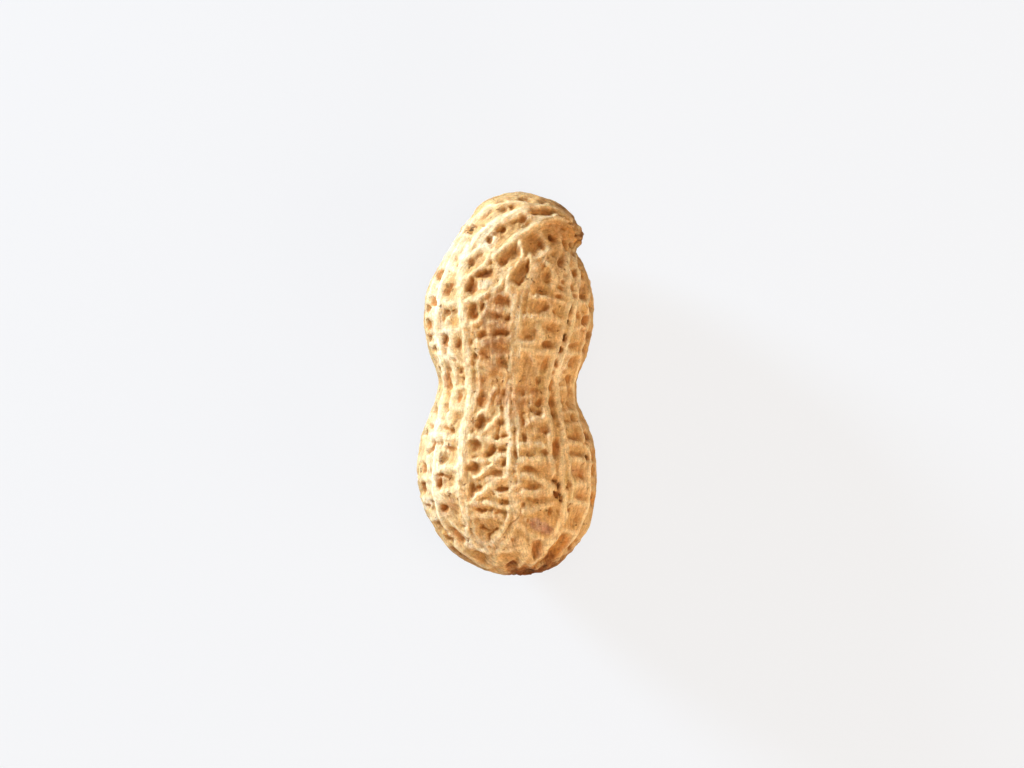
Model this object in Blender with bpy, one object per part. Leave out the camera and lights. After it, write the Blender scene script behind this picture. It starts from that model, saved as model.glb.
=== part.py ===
"""Peanut in its shell.

One closed pod with two lobes and a waist, lying on its side.
Units are metres, +Z is up. The long axis runs along Y: the beaked end is at +Y
and the stem scar at -Y. The beak points to +X. The pod rests at z = 0 on one
small flat spot under each lobe. A net of long ridges runs from the stem scar to
the beak, and shorter cross ridges join them.
"""
import bmesh
import bpy
import numpy as np
from mathutils import Vector

MM = 0.001

# ---- driving dimensions -------------------------------------------------
HALF_LENGTH = 17.84 * MM         # half of the pod's length along Y, without the ridges
SIDE_POWER = 2.15                # roundness of a cross-section: 2 is an ellipse

# Outline seen from above, between the ridges, tip to stem: y, left and right x (mm)
OUTLINE = (
    (17.25, -1.90, 3.82),
    (15.75, -3.32, 5.88),
    (14.25, -4.42, 6.15),
    (12.75, -5.42, 6.16),
    (11.25, -6.22, 6.98),
    (9.00, -7.34, 7.66),
    (6.00, -7.76, 7.90),
    (3.00, -7.24, 7.38),
    (0.00, -6.40, 6.38),
    (-1.50, -6.72, 6.38),
    (-4.50, -7.84, 7.60),
    (-7.50, -8.40, 8.24),
    (-10.50, -8.12, 8.16),
    (-13.50, -6.78, 7.38),
    (-15.75, -5.02, 5.80),
    (-17.25, -2.34, 3.88),
)
# Seen from the side: y, height of the middle, half thickness (mm)
PROFILE = (
    (17.25, 7.55, 2.90),
    (14.25, 7.35, 5.00),
    (11.25, 7.20, 6.40),
    (7.00, 7.05, 7.36),
    (3.00, 7.15, 6.90),
    (-0.75, 7.30, 6.20),
    (-4.50, 7.30, 7.20),
    (-8.50, 7.20, 7.68),
    (-12.00, 7.20, 7.20),
    (-15.75, 7.30, 5.15),
    (-17.25, 7.35, 3.10),
)

RIDGE_RISE = 0.24 * MM           # a ridge of height 1 above the skin between
HOLLOW_DROP = 0.52 * MM          # a hollow of depth 1 below it

BEAK_LEAN = 40.0                 # where the ridges meet, degrees off the +Y end
SCAR_LEAN = 9.0                  # the same at the stem end
BEAK_AT = (6.5, 13.85, 8.3)      # mm
BEAK_SIZE = 1.05                 # mm, how far the beak stands out
BEAK_REACH = (1.6, 1.22, 2.0)    # mm, its half-widths along X, Y, Z
NOTCH_AT = (6.7, 12.55, 8.2)     # mm, hollow just under the beak
NOTCH_SIZE = 0.42
NOTCH_REACH = (1.2, 0.60, 1.8)
BUMP_AT = (-4.5, 14.75, 7.6)     # mm, small bump on the other edge
BUMP_SIZE = 0.28
BUMP_REACH = (0.7, 0.45, 1.0)
SCAR_AT = (1.9, -17.9, 7.9)      # mm, dimple where the stem was
SCAR_SIZE = 0.38
SCAR_REACH = (1.1, 1.0, 1.1)

# long ridges of the lower side, degrees round from the top; the first and the
# last are the edges of the upper side
UNDER_RIDGES = (84.0, 101.0, 119.0, 139.0, 161.0, 184.0, 207.0, 228.0, 247.0, 264.0,
                280.0)
END_RIDGES = (-72.0, -50.0, -24.0, 3.0, 30.0, 58.0)   # short ones above the scar

COLUMNS = 22                     # mesh columns in a quarter of the way round
ROWS = 46                        # mesh rows between the end caps
WIDEST = 0.40 * MM               # no ridge is narrower than the mesh can hold
CELL_DROP = 0.30 * MM            # how far the skin sinks between the ridges
REST_SPOTS = ((0.2, 7.0, 2.6, 4.2), (0.0, -8.9, 3.2, 4.9))  # x, y, half-widths (mm)
SNAP = 0.06 * MM                 # points this close to the floor sit on it

# The net on the upper side, traced by eye on a fine grid laid over the pod as
# seen from above. One grid step is GRID_STEP, x runs right, y runs down and
# GRID_MIDDLE is the middle of the pod.
GRID_STEP = 36.0 / 384 * MM
GRID_MIDDLE = (508.0, 384.0)
EYE_HEIGHT = 328.0 * MM          # the grid was seen from this height

# ridges: half-width (grid steps), height (0 to 1), points along the crest
RIDGE_LINES = (
    # long ridges, left to right
    (4.2, 0.80, ((469, 222), (460, 236), (450, 250), (441, 264), (434, 280), (429, 296),
                 (426, 312), (425, 330), (428, 347), (432, 358), (437, 372), (438.5, 386),
                 (438, 397), (433, 406), (430, 418), (424, 432), (420, 448), (418.5, 464),
                 (418.5, 480), (420, 496), (424, 510), (431, 522), (440, 536), (450, 547),
                 (462, 558))),
    (3.6, 1.00, ((489, 207), (481, 213), (474, 221), (465, 238), (456, 252), (449, 264),
                 (444, 278), (440, 292), (438, 305), (437, 318), (437, 332), (439, 346),
                 (441, 357), (443.5, 367), (445, 378), (445, 390), (442, 401), (440, 412),
                 (438, 421), (437, 431), (436.5, 440), (437, 450), (437, 458), (436, 466),
                 (435, 476), (434.5, 486), (435.5, 496), (437.5, 506), (440, 515),
                 (443.5, 523), (448, 531), (453, 538.5), (457, 545), (463, 551.5), (470, 557),
                 (478, 562.5), (487, 567))),
    (3.2, 0.75, ((452, 331), (452, 343), (450, 352), (451.5, 361), (454.5, 370), (456, 380),
                 (455.5, 390), (453, 399), (450.5, 408), (449, 418), (449, 424))),
    (4.0, 1.10, ((528, 209), (518, 213), (507, 217), (497, 222), (489, 228), (482, 234),
                 (475, 240), (468, 248), (464, 257), (461, 268), (460, 280), (460, 292),
                 (460, 303), (462, 315), (463.5, 327))),
    (3.1, 0.95, ((463.5, 327), (465.5, 338), (466.5, 350), (468, 362), (468, 374),
                 (469, 386), (470, 396), (469, 406), (466.5, 418))),
    (4.0, 1.05, ((466.5, 418), (464.5, 430), (462.5, 442), (461.5, 454), (461.5, 464),
                 (460.5, 474), (459.5, 484), (460, 494))),
    (2.1, 1.00, ((460, 494), (461, 504), (463, 514), (465.5, 524), (468, 533),
                 (472, 542), (479, 549.5), (488, 553))),
    (2.0, 0.80, ((466, 499), (467, 507), (467.8, 515), (468.3, 523))),
    (1.9, 0.60, ((473, 522), (475.3, 531), (479, 538.5), (485, 545))),
    (2.2, 0.58, ((471, 326), (474, 334), (477.5, 342), (478.5, 352), (479, 362), (478.5, 372),
                 (479, 382), (477, 392), (474, 402), (472.5, 411))),
    (2.8, 0.95, ((511, 270), (508, 280), (509, 290), (514, 297), (514, 306))),
    (2.4, 0.50, ((512.5, 306), (512, 320), (511.5, 332), (511.5, 345), (511.5, 358),
                 (511, 370))),
    (2.5, 1.10, ((509.5, 384), (508.5, 392), (507, 400), (507.5, 412), (510, 424),
                 (511.5, 436), (511, 448), (510, 460), (508.5, 470))),
    (1.5, 0.75, ((508.5, 470), (509, 483), (510.5, 495), (511, 507))),
    (2.4, 0.95, ((511, 507), (509, 518), (505, 528), (500, 537), (494, 544), (487, 548))),
    (2.2, 0.60, ((527, 287), (523, 298), (521, 308), (520.5, 320), (520.5, 333))),
    (5.2, 0.52, ((518, 300), (517, 312), (516.5, 326), (516.5, 340), (516.5, 354),
                 (515.5, 368), (514.5, 382))),
    (4.4, 0.50, ((514, 382), (514.5, 396), (516, 410), (517, 425), (517.5, 440),
                 (517.5, 455), (516, 466))),
    (5.0, 0.80, ((514.5, 466), (514.5, 478), (515.5, 490), (516, 502), (516, 512))),
    (2.4, 0.85, ((519.5, 500), (519, 510), (517, 520), (512, 531), (506, 541), (500, 549),
                 (495, 557), (494, 567))),
    (2.8, 0.95, ((568, 253), (567, 265), (568.5, 278), (569, 290), (569.5, 300), (567, 311),
                 (565, 322), (562, 333), (559, 343), (555.5, 353), (552, 363), (549, 373),
                 (547, 383), (546.5, 393), (547, 403), (548, 413), (549.5, 423), (551, 433),
                 (550.5, 443), (550.5, 453), (552, 463), (553, 473))),
    (3.0, 1.10, ((579, 240), (574, 250), (574.5, 260), (577.5, 270), (578.5, 280),
                 (576.5, 290), (575.5, 301), (574, 312), (572, 322), (569.5, 332),
                 (567, 342), (564, 352), (560.5, 362), (557.5, 371), (556, 381), (556, 391),
                 (557.5, 401), (559, 411), (561, 421), (562.5, 431), (562.5, 441),
                 (562.5, 451), (562, 461), (562, 471), (562.5, 481), (564, 491),
                 (564.5, 501), (563, 511), (560.5, 520), (556.5, 529), (551.5, 538),
                 (546, 546), (540, 554), (533, 562))),
    (2.2, 0.85, ((563, 431), (566, 441), (567.5, 451), (568.5, 461), (569.5, 471),
                 (571.5, 480), (573, 489), (571.5, 498), (567.5, 508), (565.5, 517),
                 (562.5, 526), (558, 535), (552, 544), (545, 552), (538, 559), (531, 566))),
    (3.0, 0.90, ((580, 247), (584, 260), (588, 274), (591, 288), (593, 302), (594, 316),
                 (593, 330), (591.5, 342), (588.5, 355), (584, 366), (580, 376),
                 (577.5, 386), (576.5, 396), (579, 405), (583, 415), (587, 425),
                 (590.5, 436), (594, 447), (596, 458), (597.5, 470), (597, 485),
                 (596, 498), (594, 508), (590, 520), (585, 531), (578, 541), (570, 550),
                 (560, 559), (548, 567))),
    (2.4, 0.95, ((589, 290), (587, 303), (588, 313), (589, 321), (587, 328), (585, 336),
                 (583, 344), (581, 352), (580, 360), (577.5, 368), (575, 376), (573.5, 386),
                 (573, 396), (574.5, 405), (576.5, 413), (578.5, 421), (581.5, 429),
                 (583.5, 437), (586, 446), (589.5, 454), (590, 464), (589.5, 475),
                 (590, 486), (589.5, 497), (587.5, 507), (584.5, 517), (581, 526),
                 (575.5, 535), (569, 544), (561, 552), (552, 560), (541, 567))),
    # over the crown to the beak
    (2.6, 0.75, ((486, 207), (496, 205), (507, 202), (518, 201.5), (530, 204.5), (541, 206),
                 (552, 206.5), (560, 211), (568, 218), (575, 226), (580, 234))),
    (3.0, 0.90, ((520, 211), (528, 215), (535, 217.5), (545, 217.5), (552, 216), (560, 215))),
    (3.0, 1.25, ((494, 257), (500, 251.5), (507, 247), (513, 242), (518, 236.5), (525, 231),
                 (532, 227), (540, 222))),
    (2.3, 1.25, ((540, 222), (548, 218), (556, 216), (563, 218), (570, 222.5),
                 (576, 228), (581, 234.5))),
    (2.8, 0.85, ((466, 262), (472, 254), (480, 248.5), (487, 245.5), (494, 250), (500, 252))),
    (2.4, 0.90, ((519, 237), (521, 246), (523, 255), (522, 261), (516, 267), (511, 271))),
    (3.6, 0.66, ((536, 230), (541, 237), (546, 243), (549, 249), (542, 254), (534, 258),
                 (527, 259))),
    (2.6, 0.38, ((532, 258), (534, 268), (532.5, 278), (528, 287), (521, 289.5), (513, 285),
                 (509, 280))),
    (3.2, 0.40, ((558, 228), (560, 237), (561, 246), (555, 249), (549, 250))),
    (2.4, 0.70, ((545, 262), (551, 266), (554, 273), (556, 281), (552, 288))),
    # cross ridges between the long ones, top to bottom
    (2.5, 0.80, ((460, 280), (470, 275), (479, 269), (487, 262), (490, 255))),
    (2.6, 1.05, ((467, 301), (476, 299), (485, 296), (493, 291), (500, 286), (502.5, 279))),
    (2.1, 1.00, ((472, 323), (480, 320.5), (485, 315), (488, 309), (488, 303))),
    (2.4, 0.62, ((488, 302), (494, 297), (502, 293), (510, 292))),
    (2.8, 0.60, ((489, 310), (498, 311.5), (508, 311), (514, 309))),
    (2.8, 0.65, ((486, 321), (494, 322.5), (500, 325.5), (506, 328.5), (513, 330))),
    (3.4, 0.62, ((478, 343), (486, 343), (494, 341), (503, 340.5), (512, 341))),
    (2.2, 0.50, ((492, 342), (492.5, 352), (493, 362))),
    (2.4, 0.50, ((494, 356), (503, 355.5), (512, 356))),
    (3.0, 0.40, ((478, 363), (487, 364), (495, 368), (503, 371.5), (510, 373))),
    (2.0, 0.36, ((503, 382), (505.5, 376.5), (510, 373))),
    (2.2, 1.05, ((480, 414.5), (486, 409.5), (489, 402), (492, 395), (496, 390))),
    (2.0, 0.70, ((497, 398), (498, 407), (500, 415))),
    (2.4, 0.90, ((482, 431.5), (488, 427.5), (494, 423), (500, 417))),
    (2.8, 0.85, ((470, 437), (480, 438.5), (490, 441), (500, 442.5), (510, 440))),
    (2.2, 0.80, ((497, 460), (501, 455.5), (509, 455))),
    (2.4, 0.90, ((470, 462), (478, 461), (487, 461.5), (495, 461), (500, 458))),
    (2.4, 0.95, ((474, 477.5), (480, 476), (487, 471), (492, 466))),
    (2.4, 0.90, ((489, 480.5), (497, 480.5), (505, 478.5), (509, 474))),
    (2.6, 1.10, ((473, 499), (479, 494.5), (486, 490), (492, 485))),
    (2.2, 0.80, ((491, 485), (494, 491), (501, 495.5), (509, 495))),
    (2.8, 0.80, ((468, 504), (478, 503), (488, 503), (497, 505.5), (508, 510))),
    (2.8, 0.80, ((472, 518), (482, 517), (492, 517), (502, 520))),
    (2.4, 0.80, ((536, 297), (545, 298), (554, 300.5), (562, 302))),
    (2.4, 0.70, ((549, 301), (551, 310), (551, 319))),
    (3.2, 0.85, ((522, 317), (531, 317.5), (541, 318), (551, 319), (562, 321))),
    (2.6, 0.80, ((538, 325), (541, 333), (542, 340), (533, 343), (523, 343))),
    (2.8, 0.85, ((521, 349), (533, 350), (543, 351.5), (553, 352))),
    (2.4, 0.65, ((531, 352), (534, 362), (537, 373))),
    (2.6, 0.35, ((519, 400), (529, 397), (540, 393), (548, 392))),
    (3.0, 0.95, ((527, 423), (533, 420.5), (541, 419), (549, 419))),
    (2.8, 0.90, ((520, 447), (530, 444), (539, 444.5), (546, 448), (551, 451))),
    (4.0, 0.85, ((520, 462), (530, 461.5), (541, 460.5), (552, 461))),
    (2.8, 0.90, ((519, 475), (528, 476), (538, 480), (547, 484.5), (552, 487))),
    (3.6, 0.90, ((520, 493), (530, 493), (541, 493), (551, 491))),
    (3.0, 0.85, ((520, 512), (530, 510.5), (541, 508), (551, 505))),
    (3.0, 0.60, ((517, 524), (527, 532), (537, 538), (547, 541))),
    (3.6, 0.75, ((520, 541), (524, 550), (524, 560), (520, 567))),
    (3.4, 0.75, ((547, 541), (545, 549), (540, 556), (535, 562))),
    (2.2, 0.75, ((571, 300), (577, 302.5), (586, 302))),
    (2.2, 0.75, ((572, 331), (579, 327.5), (588, 327))),
    (2.2, 0.70, ((565, 354), (573, 352.5), (581, 353))),
    (2.2, 0.60, ((557, 390), (564, 388), (572, 387))),
    (2.2, 0.65, ((560, 414), (568, 411.5), (576, 413))),
    (2.2, 0.65, ((562, 428), (570, 427), (574, 424), (580, 424))),
    (2.6, 0.85, ((566, 443), (574, 444), (585, 444.5))),
    (2.6, 0.85, ((568, 460), (577, 459.5), (589, 461))),
    (2.6, 0.85, ((572, 484), (580, 484), (590, 484.5))),
    (2.6, 0.85, ((571, 503), (580, 502.5), (588, 505))),
    (2.4, 0.85, ((564, 530), (571, 531), (576, 534))),
    (2.4, 0.80, ((440, 300), (449, 303), (460, 302))),
    (2.6, 0.80, ((437, 331), (446, 331.5), (455, 331), (464, 329))),
    (2.0, 0.65, ((441, 357), (447, 357), (451, 360))),
    (2.2, 0.70, ((452, 352), (459, 362), (467, 366))),
    (2.2, 0.70, ((455, 389), (462, 388), (470, 389))),
    (2.2, 0.70, ((452, 408), (459, 409), (468, 410))),
    (3.2, 0.90, ((437, 435), (446, 438), (455, 438), (464, 437))),
    (3.4, 0.90, ((437, 466), (446, 467.5), (455, 467.5), (463, 465))),
    (3.2, 0.90, ((436, 495), (446, 493), (455, 490), (461, 487))),
    (2.1, 0.60, ((446, 517), (452, 524), (459, 529.5), (466, 534))),
    (2.6, 0.75, ((426, 316), (437, 315))),
    (2.4, 0.70, ((426, 331), (437, 331))),
    (2.4, 0.75, ((430, 344), (439, 342))),
    (2.6, 0.75, ((421, 438), (436, 436))),
    (2.6, 0.80, ((419, 459), (437, 459))),
    (2.6, 0.80, ((419, 479), (434, 479))),
    (2.6, 0.80, ((420, 498), (436, 498))),
    (2.6, 0.75, ((431, 519), (442, 518))),
    (2.6, 0.75, ((437, 286), (443, 283))),
    (2.6, 0.70, ((446, 264), (455, 270), (461, 272))),
    # low end round the stem scar
    (2.4, 0.60, ((488, 551), (495, 553), (506, 550.5), (516, 549), (524, 552))),
    (2.2, 0.45, ((487, 567), (490, 561), (494, 556))),
    (2.4, 0.55, ((461, 549), (467, 548.5), (473, 546))),
)



def curve(stations, column, at):
    """Smooth curve through one column of the stations."""
    rows = sorted(stations)
    xs = np.array([r[0] for r in rows])
    ys = np.array([r[column] for r in rows])
    slope = np.gradient(ys, xs)
    at = np.clip(at, xs[0], xs[-1])
    k = np.clip(np.searchsorted(xs, at) - 1, 0, len(xs) - 2)
    h = xs[k + 1] - xs[k]
    t = (at - xs[k]) / h
    return (ys[k] * (2 * t**3 - 3 * t**2 + 1) + slope[k] * h * (t**3 - 2 * t**2 + t)
            + ys[k + 1] * (3 * t**2 - 2 * t**3) + slope[k + 1] * h * (t**3 - t**2))


def circle(y_mm):
    """Half-width of a circle as long as the pod, as a share of its radius."""
    return np.sqrt(np.maximum(1.0 - (y_mm * MM / HALF_LENGTH) ** 2, 1e-9))


PLAN = [(y, (a + b) / 2, (b - a) / 2 / circle(y)) for y, a, b in OUTLINE]
SIDE = [(y, mid, half / circle(y)) for y, mid, half in PROFILE]


def smooth(a, b, x):
    t = np.clip((x - a) / (b - a), 0.0, 1.0)
    return t * t * (3 - 2 * t)


def unit(v):
    return v / np.linalg.norm(v, axis=-1, keepdims=True)


def body(d):
    """Pod surface without its net, for unit directions d. Metres."""
    yy = d[:, 1] * HALF_LENGTH / MM
    flat = np.hypot(d[:, 0], d[:, 2]) + 1e-12
    c, s = np.abs(d[:, 0] / flat), np.abs(d[:, 2] / flat)
    k = np.maximum(c**SIDE_POWER + s**SIDE_POWER, 1e-6) ** (-1.0 / SIDE_POWER)
    x = curve(PLAN, 1, yy) + curve(PLAN, 2, yy) * d[:, 0] * k
    z = curve(SIDE, 1, yy) + curve(SIDE, 2, yy) * d[:, 2] * k
    return np.stack([x, yy, z], axis=1) * MM


def body_normal(d):
    """Outward normals of body()."""
    a = unit(np.cross(d, np.array([0.13, 0.21, 0.97])))
    b = np.cross(d, a)
    e = 2e-3
    n = np.cross(body(unit(d + a * e)) - body(unit(d - a * e)),
                 body(unit(d + b * e)) - body(unit(d - b * e)))
    return unit(n)


def on_top(points):
    """Grid points as places on the upper side of the pod. Metres."""
    g = np.array(points, dtype=float)
    x = (g[:, 0] - GRID_MIDDLE[0]) * GRID_STEP
    y = (GRID_MIDDLE[1] - g[:, 1]) * GRID_STEP
    mid_z = PROFILE[4][1] * MM
    px, py = x.copy(), y.copy()
    for _ in range(3):
        yy = np.clip(py / MM, -17.9, 17.9)
        u = (px / MM - curve(PLAN, 1, yy)) / (curve(PLAN, 2, yy) * circle(yy))
        rise = (1 - np.minimum(np.abs(u), 0.999) ** SIDE_POWER) ** (1 / SIDE_POWER)
        z = (curve(SIDE, 1, yy) + curve(SIDE, 2, yy) * circle(yy) * rise) * MM
        near = (EYE_HEIGHT - z) / (EYE_HEIGHT - mid_z)
        px, py = x * near, y * near
    return np.stack([px, py, z], axis=1)


def lean(d):
    """Turn directions so that the long ridges meet at the beak and at the scar."""
    lat = np.degrees(np.arcsin(np.clip(d[:, 1], -1, 1)))
    turn = np.radians(BEAK_LEAN * smooth(8, 90, lat) - SCAR_LEAN * smooth(-30, -90, lat))
    c, s = np.cos(turn), np.sin(turn)
    return np.stack([d[:, 0] * c + d[:, 1] * s, d[:, 1] * c - d[:, 0] * s, d[:, 2]], axis=1)


def towards(lat, lon):
    """Directions at a latitude from the waist and an angle round from the top."""
    lat, lon = np.radians(lat), np.radians(lon)
    return lean(np.stack([np.cos(lat) * np.sin(lon), np.sin(lat) + 0 * lon,
                          np.cos(lat) * np.cos(lon)], axis=1))


def under_net():
    """Ridges and hollows of the lower side, which follow the upper side's rhythm."""
    rng = np.random.RandomState(11)
    lat = np.linspace(-86, 87, 60)
    tracks = []
    for k, lon in enumerate(UNDER_RIDGES):
        wave = np.zeros_like(lat)
        if 0 < k < len(UNDER_RIDGES) - 1:
            for power in (1.6, 2.7, 4.3):
                wave += (2.4 / power) * np.sin(np.radians(lat) * power * 1.9 + rng.rand() * 6.3)
        tracks.append(lon + wave)
    lines, hollows = [], []
    for k, lon in enumerate(tracks):
        if 0 < k < len(tracks) - 1:
            lines.append((rng.uniform(2.9, 4.2) * GRID_STEP, rng.uniform(0.85, 1.1),
                          body(towards(lat, lon))))
            if rng.rand() < 0.55:
                side = lon + rng.choice([-1, 1]) * (5.5 + 1.5 * np.sin(np.radians(lat) * 3))
                cut = slice(int(rng.randint(6, 16)), int(rng.randint(40, 54)))
                lines.append((2.2 * GRID_STEP, 0.75, body(towards(lat[cut], side[cut]))))
    for k in range(len(tracks) - 1):
        mid = (tracks[k] + tracks[k + 1]) / 2
        run = body(towards(lat, mid))
        far = np.concatenate([[0], np.cumsum(np.linalg.norm(np.diff(run, axis=0), axis=1))])
        stop = rng.uniform(1.4, 2.6) * MM
        stops = [stop]
        while stop < far[-1] - 2.2 * MM:
            stop += rng.choice([1.5, 1.9, 2.3, 2.7, 3.3]) * MM * rng.uniform(0.9, 1.1)
            stops.append(stop)
        for j, stop in enumerate(stops):
            at = np.interp(stop, far, lat)
            a = np.interp(at, lat, tracks[k])
            b = np.interp(at, lat, tracks[k + 1])
            slant = rng.uniform(-1.0, 1.0)
            share = np.linspace(0, 1, 6)
            bow = rng.uniform(-1.2, 1.2) * np.sin(share * np.pi)
            edge = 0.55 if k in (0, len(tracks) - 2) else 1.0
            lines.append((rng.uniform(2.1, 3.0) * GRID_STEP, edge * rng.uniform(0.62, 0.95),
                          body(towards(at + slant * (share - 0.5) * 3 + bow,
                                       a * (1 - share) + b * share))))
            if j + 1 < len(stops):
                gap = stops[j + 1] - stop
                half = np.interp(stop + gap / 2, far, lat)
                a = np.interp(half, lat, tracks[k])
                b = np.interp(half, lat, tracks[k + 1])
                push = rng.uniform(0.42, 0.58)
                ends = body(towards(np.array([half - 1, half + 1, half, half, half]),
                                    np.array([(a + b) / 2, (a + b) / 2, a, b,
                                              a * (1 - push) + b * push])))
                along = unit(ends[1] - ends[0])
                across = ends[3] - ends[2]
                wide = np.linalg.norm(across)
                hollows.append((ends[4], along, across / wide, gap * rng.uniform(0.27, 0.36),
                                wide * rng.uniform(0.24, 0.33), edge * rng.uniform(0.35, 0.8)))
                if rng.rand() < 0.75:
                    spot = (ends[4] + along * gap * rng.uniform(-0.2, 0.2)
                            + across * rng.uniform(-0.2, 0.2))
                    hollows.append((spot, along, across / wide, gap * rng.uniform(0.1, 0.2),
                                    wide * rng.uniform(0.09, 0.16), rng.uniform(0.5, 1.0)))
    # short ridges that run down to the stem scar, with a hollow between each pair
    low = np.linspace(-85, -71, 8)
    for k, lon in enumerate(END_RIDGES):
        bent = lon + 5 * np.sin(low / 7.0 + k)
        lines.append((rng.uniform(2.2, 3.0) * GRID_STEP, rng.uniform(0.32, 0.55),
                      body(towards(low, bent))))
        if k:
            mid = (lon + END_RIDGES[k - 1]) / 2
            for at in (-72.5 + rng.uniform(-1.5, 1.5), -79.5 + rng.uniform(-1.5, 1.5)):
                spot = body(towards(np.array([at, at - 1, at + 1, at, at]),
                                    np.array([mid, mid, mid, mid - 11, mid + 11])))
                across = spot[4] - spot[3]
                wide = np.linalg.norm(across)
                hollows.append((spot[0], unit(spot[2] - spot[1]), across / wide,
                                rng.uniform(0.5, 0.8) * MM, wide * rng.uniform(0.30, 0.40),
                                rng.uniform(0.4, 0.7)))
            share = np.linspace(0, 1, 5)
            lines.append((2.2 * GRID_STEP, 0.34,
                          body(towards(-76 + rng.uniform(-1, 1) + 2 * share,
                                       END_RIDGES[k - 1] * (1 - share) + lon * share))))
    return lines, hollows


def distance(p, line):
    """Distance from each point to a line of straight steps."""
    best = np.full(len(p), 1.0)
    for a, b in zip(line[:-1], line[1:]):
        step = b - a
        t = np.clip(((p - a) @ step) / max(step @ step, 1e-18), 0, 1)
        best = np.minimum(best, np.linalg.norm(p - a - t[:, None] * step, axis=1))
    return best


def ridge_height(p, lines, widest=0.0):
    """Height of the ridges at each point, from 0 to about 1.3."""
    total = np.zeros(len(p))
    for half, high, line in lines:
        half = max(half, widest)
        low, top = line.min(axis=0) - 3 * half, line.max(axis=0) + 3 * half
        near = np.nonzero(((p > low) & (p < top)).all(axis=1))[0]
        if len(near):
            d = distance(p[near], line)
            total[near] += (high * np.exp(-(d / half) ** 2.4)) ** 4
    return total**0.25


def lump(p, at, reach):
    q = (p - np.array(at) * MM) / (np.array(reach) * MM)
    return np.exp(-(q**2).sum(axis=1))


def ends(p):
    """Beak, the notch under it, the bump across from it and the stem scar."""
    p = p + np.array([0.9, -0.1, 0.0]) * (BEAK_SIZE * MM * lump(p, BEAK_AT, BEAK_REACH))[:, None]
    p = p - np.array([0.9, 0.2, 0.0]) * (NOTCH_SIZE * MM * lump(p, NOTCH_AT, NOTCH_REACH))[:, None]
    p = p + np.array([-0.8, 0.3, 0.0]) * (BUMP_SIZE * MM * lump(p, BUMP_AT, BUMP_REACH))[:, None]
    p = p + np.array([-0.2, 0.9, -0.2]) * (SCAR_SIZE * MM * lump(p, SCAR_AT, SCAR_REACH))[:, None]
    return p


def net_rise(p, up):
    """How far the net lifts or sinks each point of the skin. Metres."""
    lines, hollows = under_net()
    for half, high, line in RIDGE_LINES:
        lines.append((half * GRID_STEP, high, on_top(line)))
    ridge = ridge_height(p, lines, widest=WIDEST)
    return RIDGE_RISE * ridge - CELL_DROP * (1 - smooth(0.0, 0.75, ridge))


def bead():
    """A cube cut into a grid, with more rows along Y, as a mesh in progress."""
    bm = bmesh.new()
    bmesh.ops.create_cube(bm, size=2.0)
    rows = [e for e in bm.edges if abs(e.verts[0].co.y - e.verts[1].co.y) > 1]
    bmesh.ops.subdivide_edges(bm, edges=rows, cuts=ROWS - 1, use_grid_fill=True)
    columns = [e for e in bm.edges if abs(e.verts[0].co.y - e.verts[1].co.y) < 1e-4]
    bmesh.ops.subdivide_edges(bm, edges=columns, cuts=COLUMNS - 1, use_grid_fill=True)
    return bm


def build():
    bm = bead()
    cube = np.array([v.co for v in bm.verts], dtype=float)
    d = unit(np.tan(np.clip(cube, -1, 1) * np.pi / 4))
    skin = body(d)
    rise = net_rise(skin, d)
    for x, y, rx, ry in REST_SPOTS:
        far = np.hypot((skin[:, 0] / MM - x) / rx, (skin[:, 1] / MM - y) / ry)
        rise = np.where(skin[:, 2] < 4 * MM, rise * smooth(1.0, 1.6, far), rise)
    p = ends(skin + body_normal(d) * rise[:, None])
    p[:, 2] = np.where(np.abs(p[:, 2]) < SNAP, 0.0, p[:, 2])
    for v, co in zip(bm.verts, p):
        v.co = co

    # slice the two resting spots flat
    cut = bmesh.ops.bisect_plane(
        bm, geom=bm.verts[:] + bm.edges[:] + bm.faces[:], dist=1e-6,
        plane_co=Vector((0, 0, 0)), plane_no=Vector((0, 0, -1)), clear_outer=True)
    rim = [g for g in cut["geom_cut"] if isinstance(g, bmesh.types.BMEdge) and g.is_boundary]
    bmesh.ops.holes_fill(bm, edges=rim, sides=0)
    for v in bm.verts:
        if abs(v.co.z) < 2e-6:
            v.co.z = 0.0
    bmesh.ops.recalc_face_normals(bm, faces=bm.faces[:])

    mesh = bpy.data.meshes.new("peanut")
    bm.to_mesh(mesh)
    bm.free()
    for face in mesh.polygons:
        face.use_smooth = face.normal.z > -0.9999

    mat = bpy.data.materials.new("shell")
    mat.use_nodes = True
    shader = mat.node_tree.nodes["Principled BSDF"]
    shader.inputs["Base Color"].default_value = (0.60, 0.40, 0.21, 1.0)
    shader.inputs["Roughness"].default_value = 0.8
    mesh.materials.append(mat)

    obj = bpy.data.objects.new("peanut", mesh)
    group = bpy.data.collections.new("Peanut")
    bpy.context.scene.collection.children.link(group)
    group.objects.link(obj)
    return obj


for old in list(bpy.data.objects):
    bpy.data.objects.remove(old, do_unlink=True)
build()
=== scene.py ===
"""Looks of the peanut: its netted skin, the finish of the husk, light and camera.

The skin is one dense closed mesh. Its net of ridges, hollows and cracks is real
geometry; finer fibres and grain are in the material. Units are metres.
"""

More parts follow.
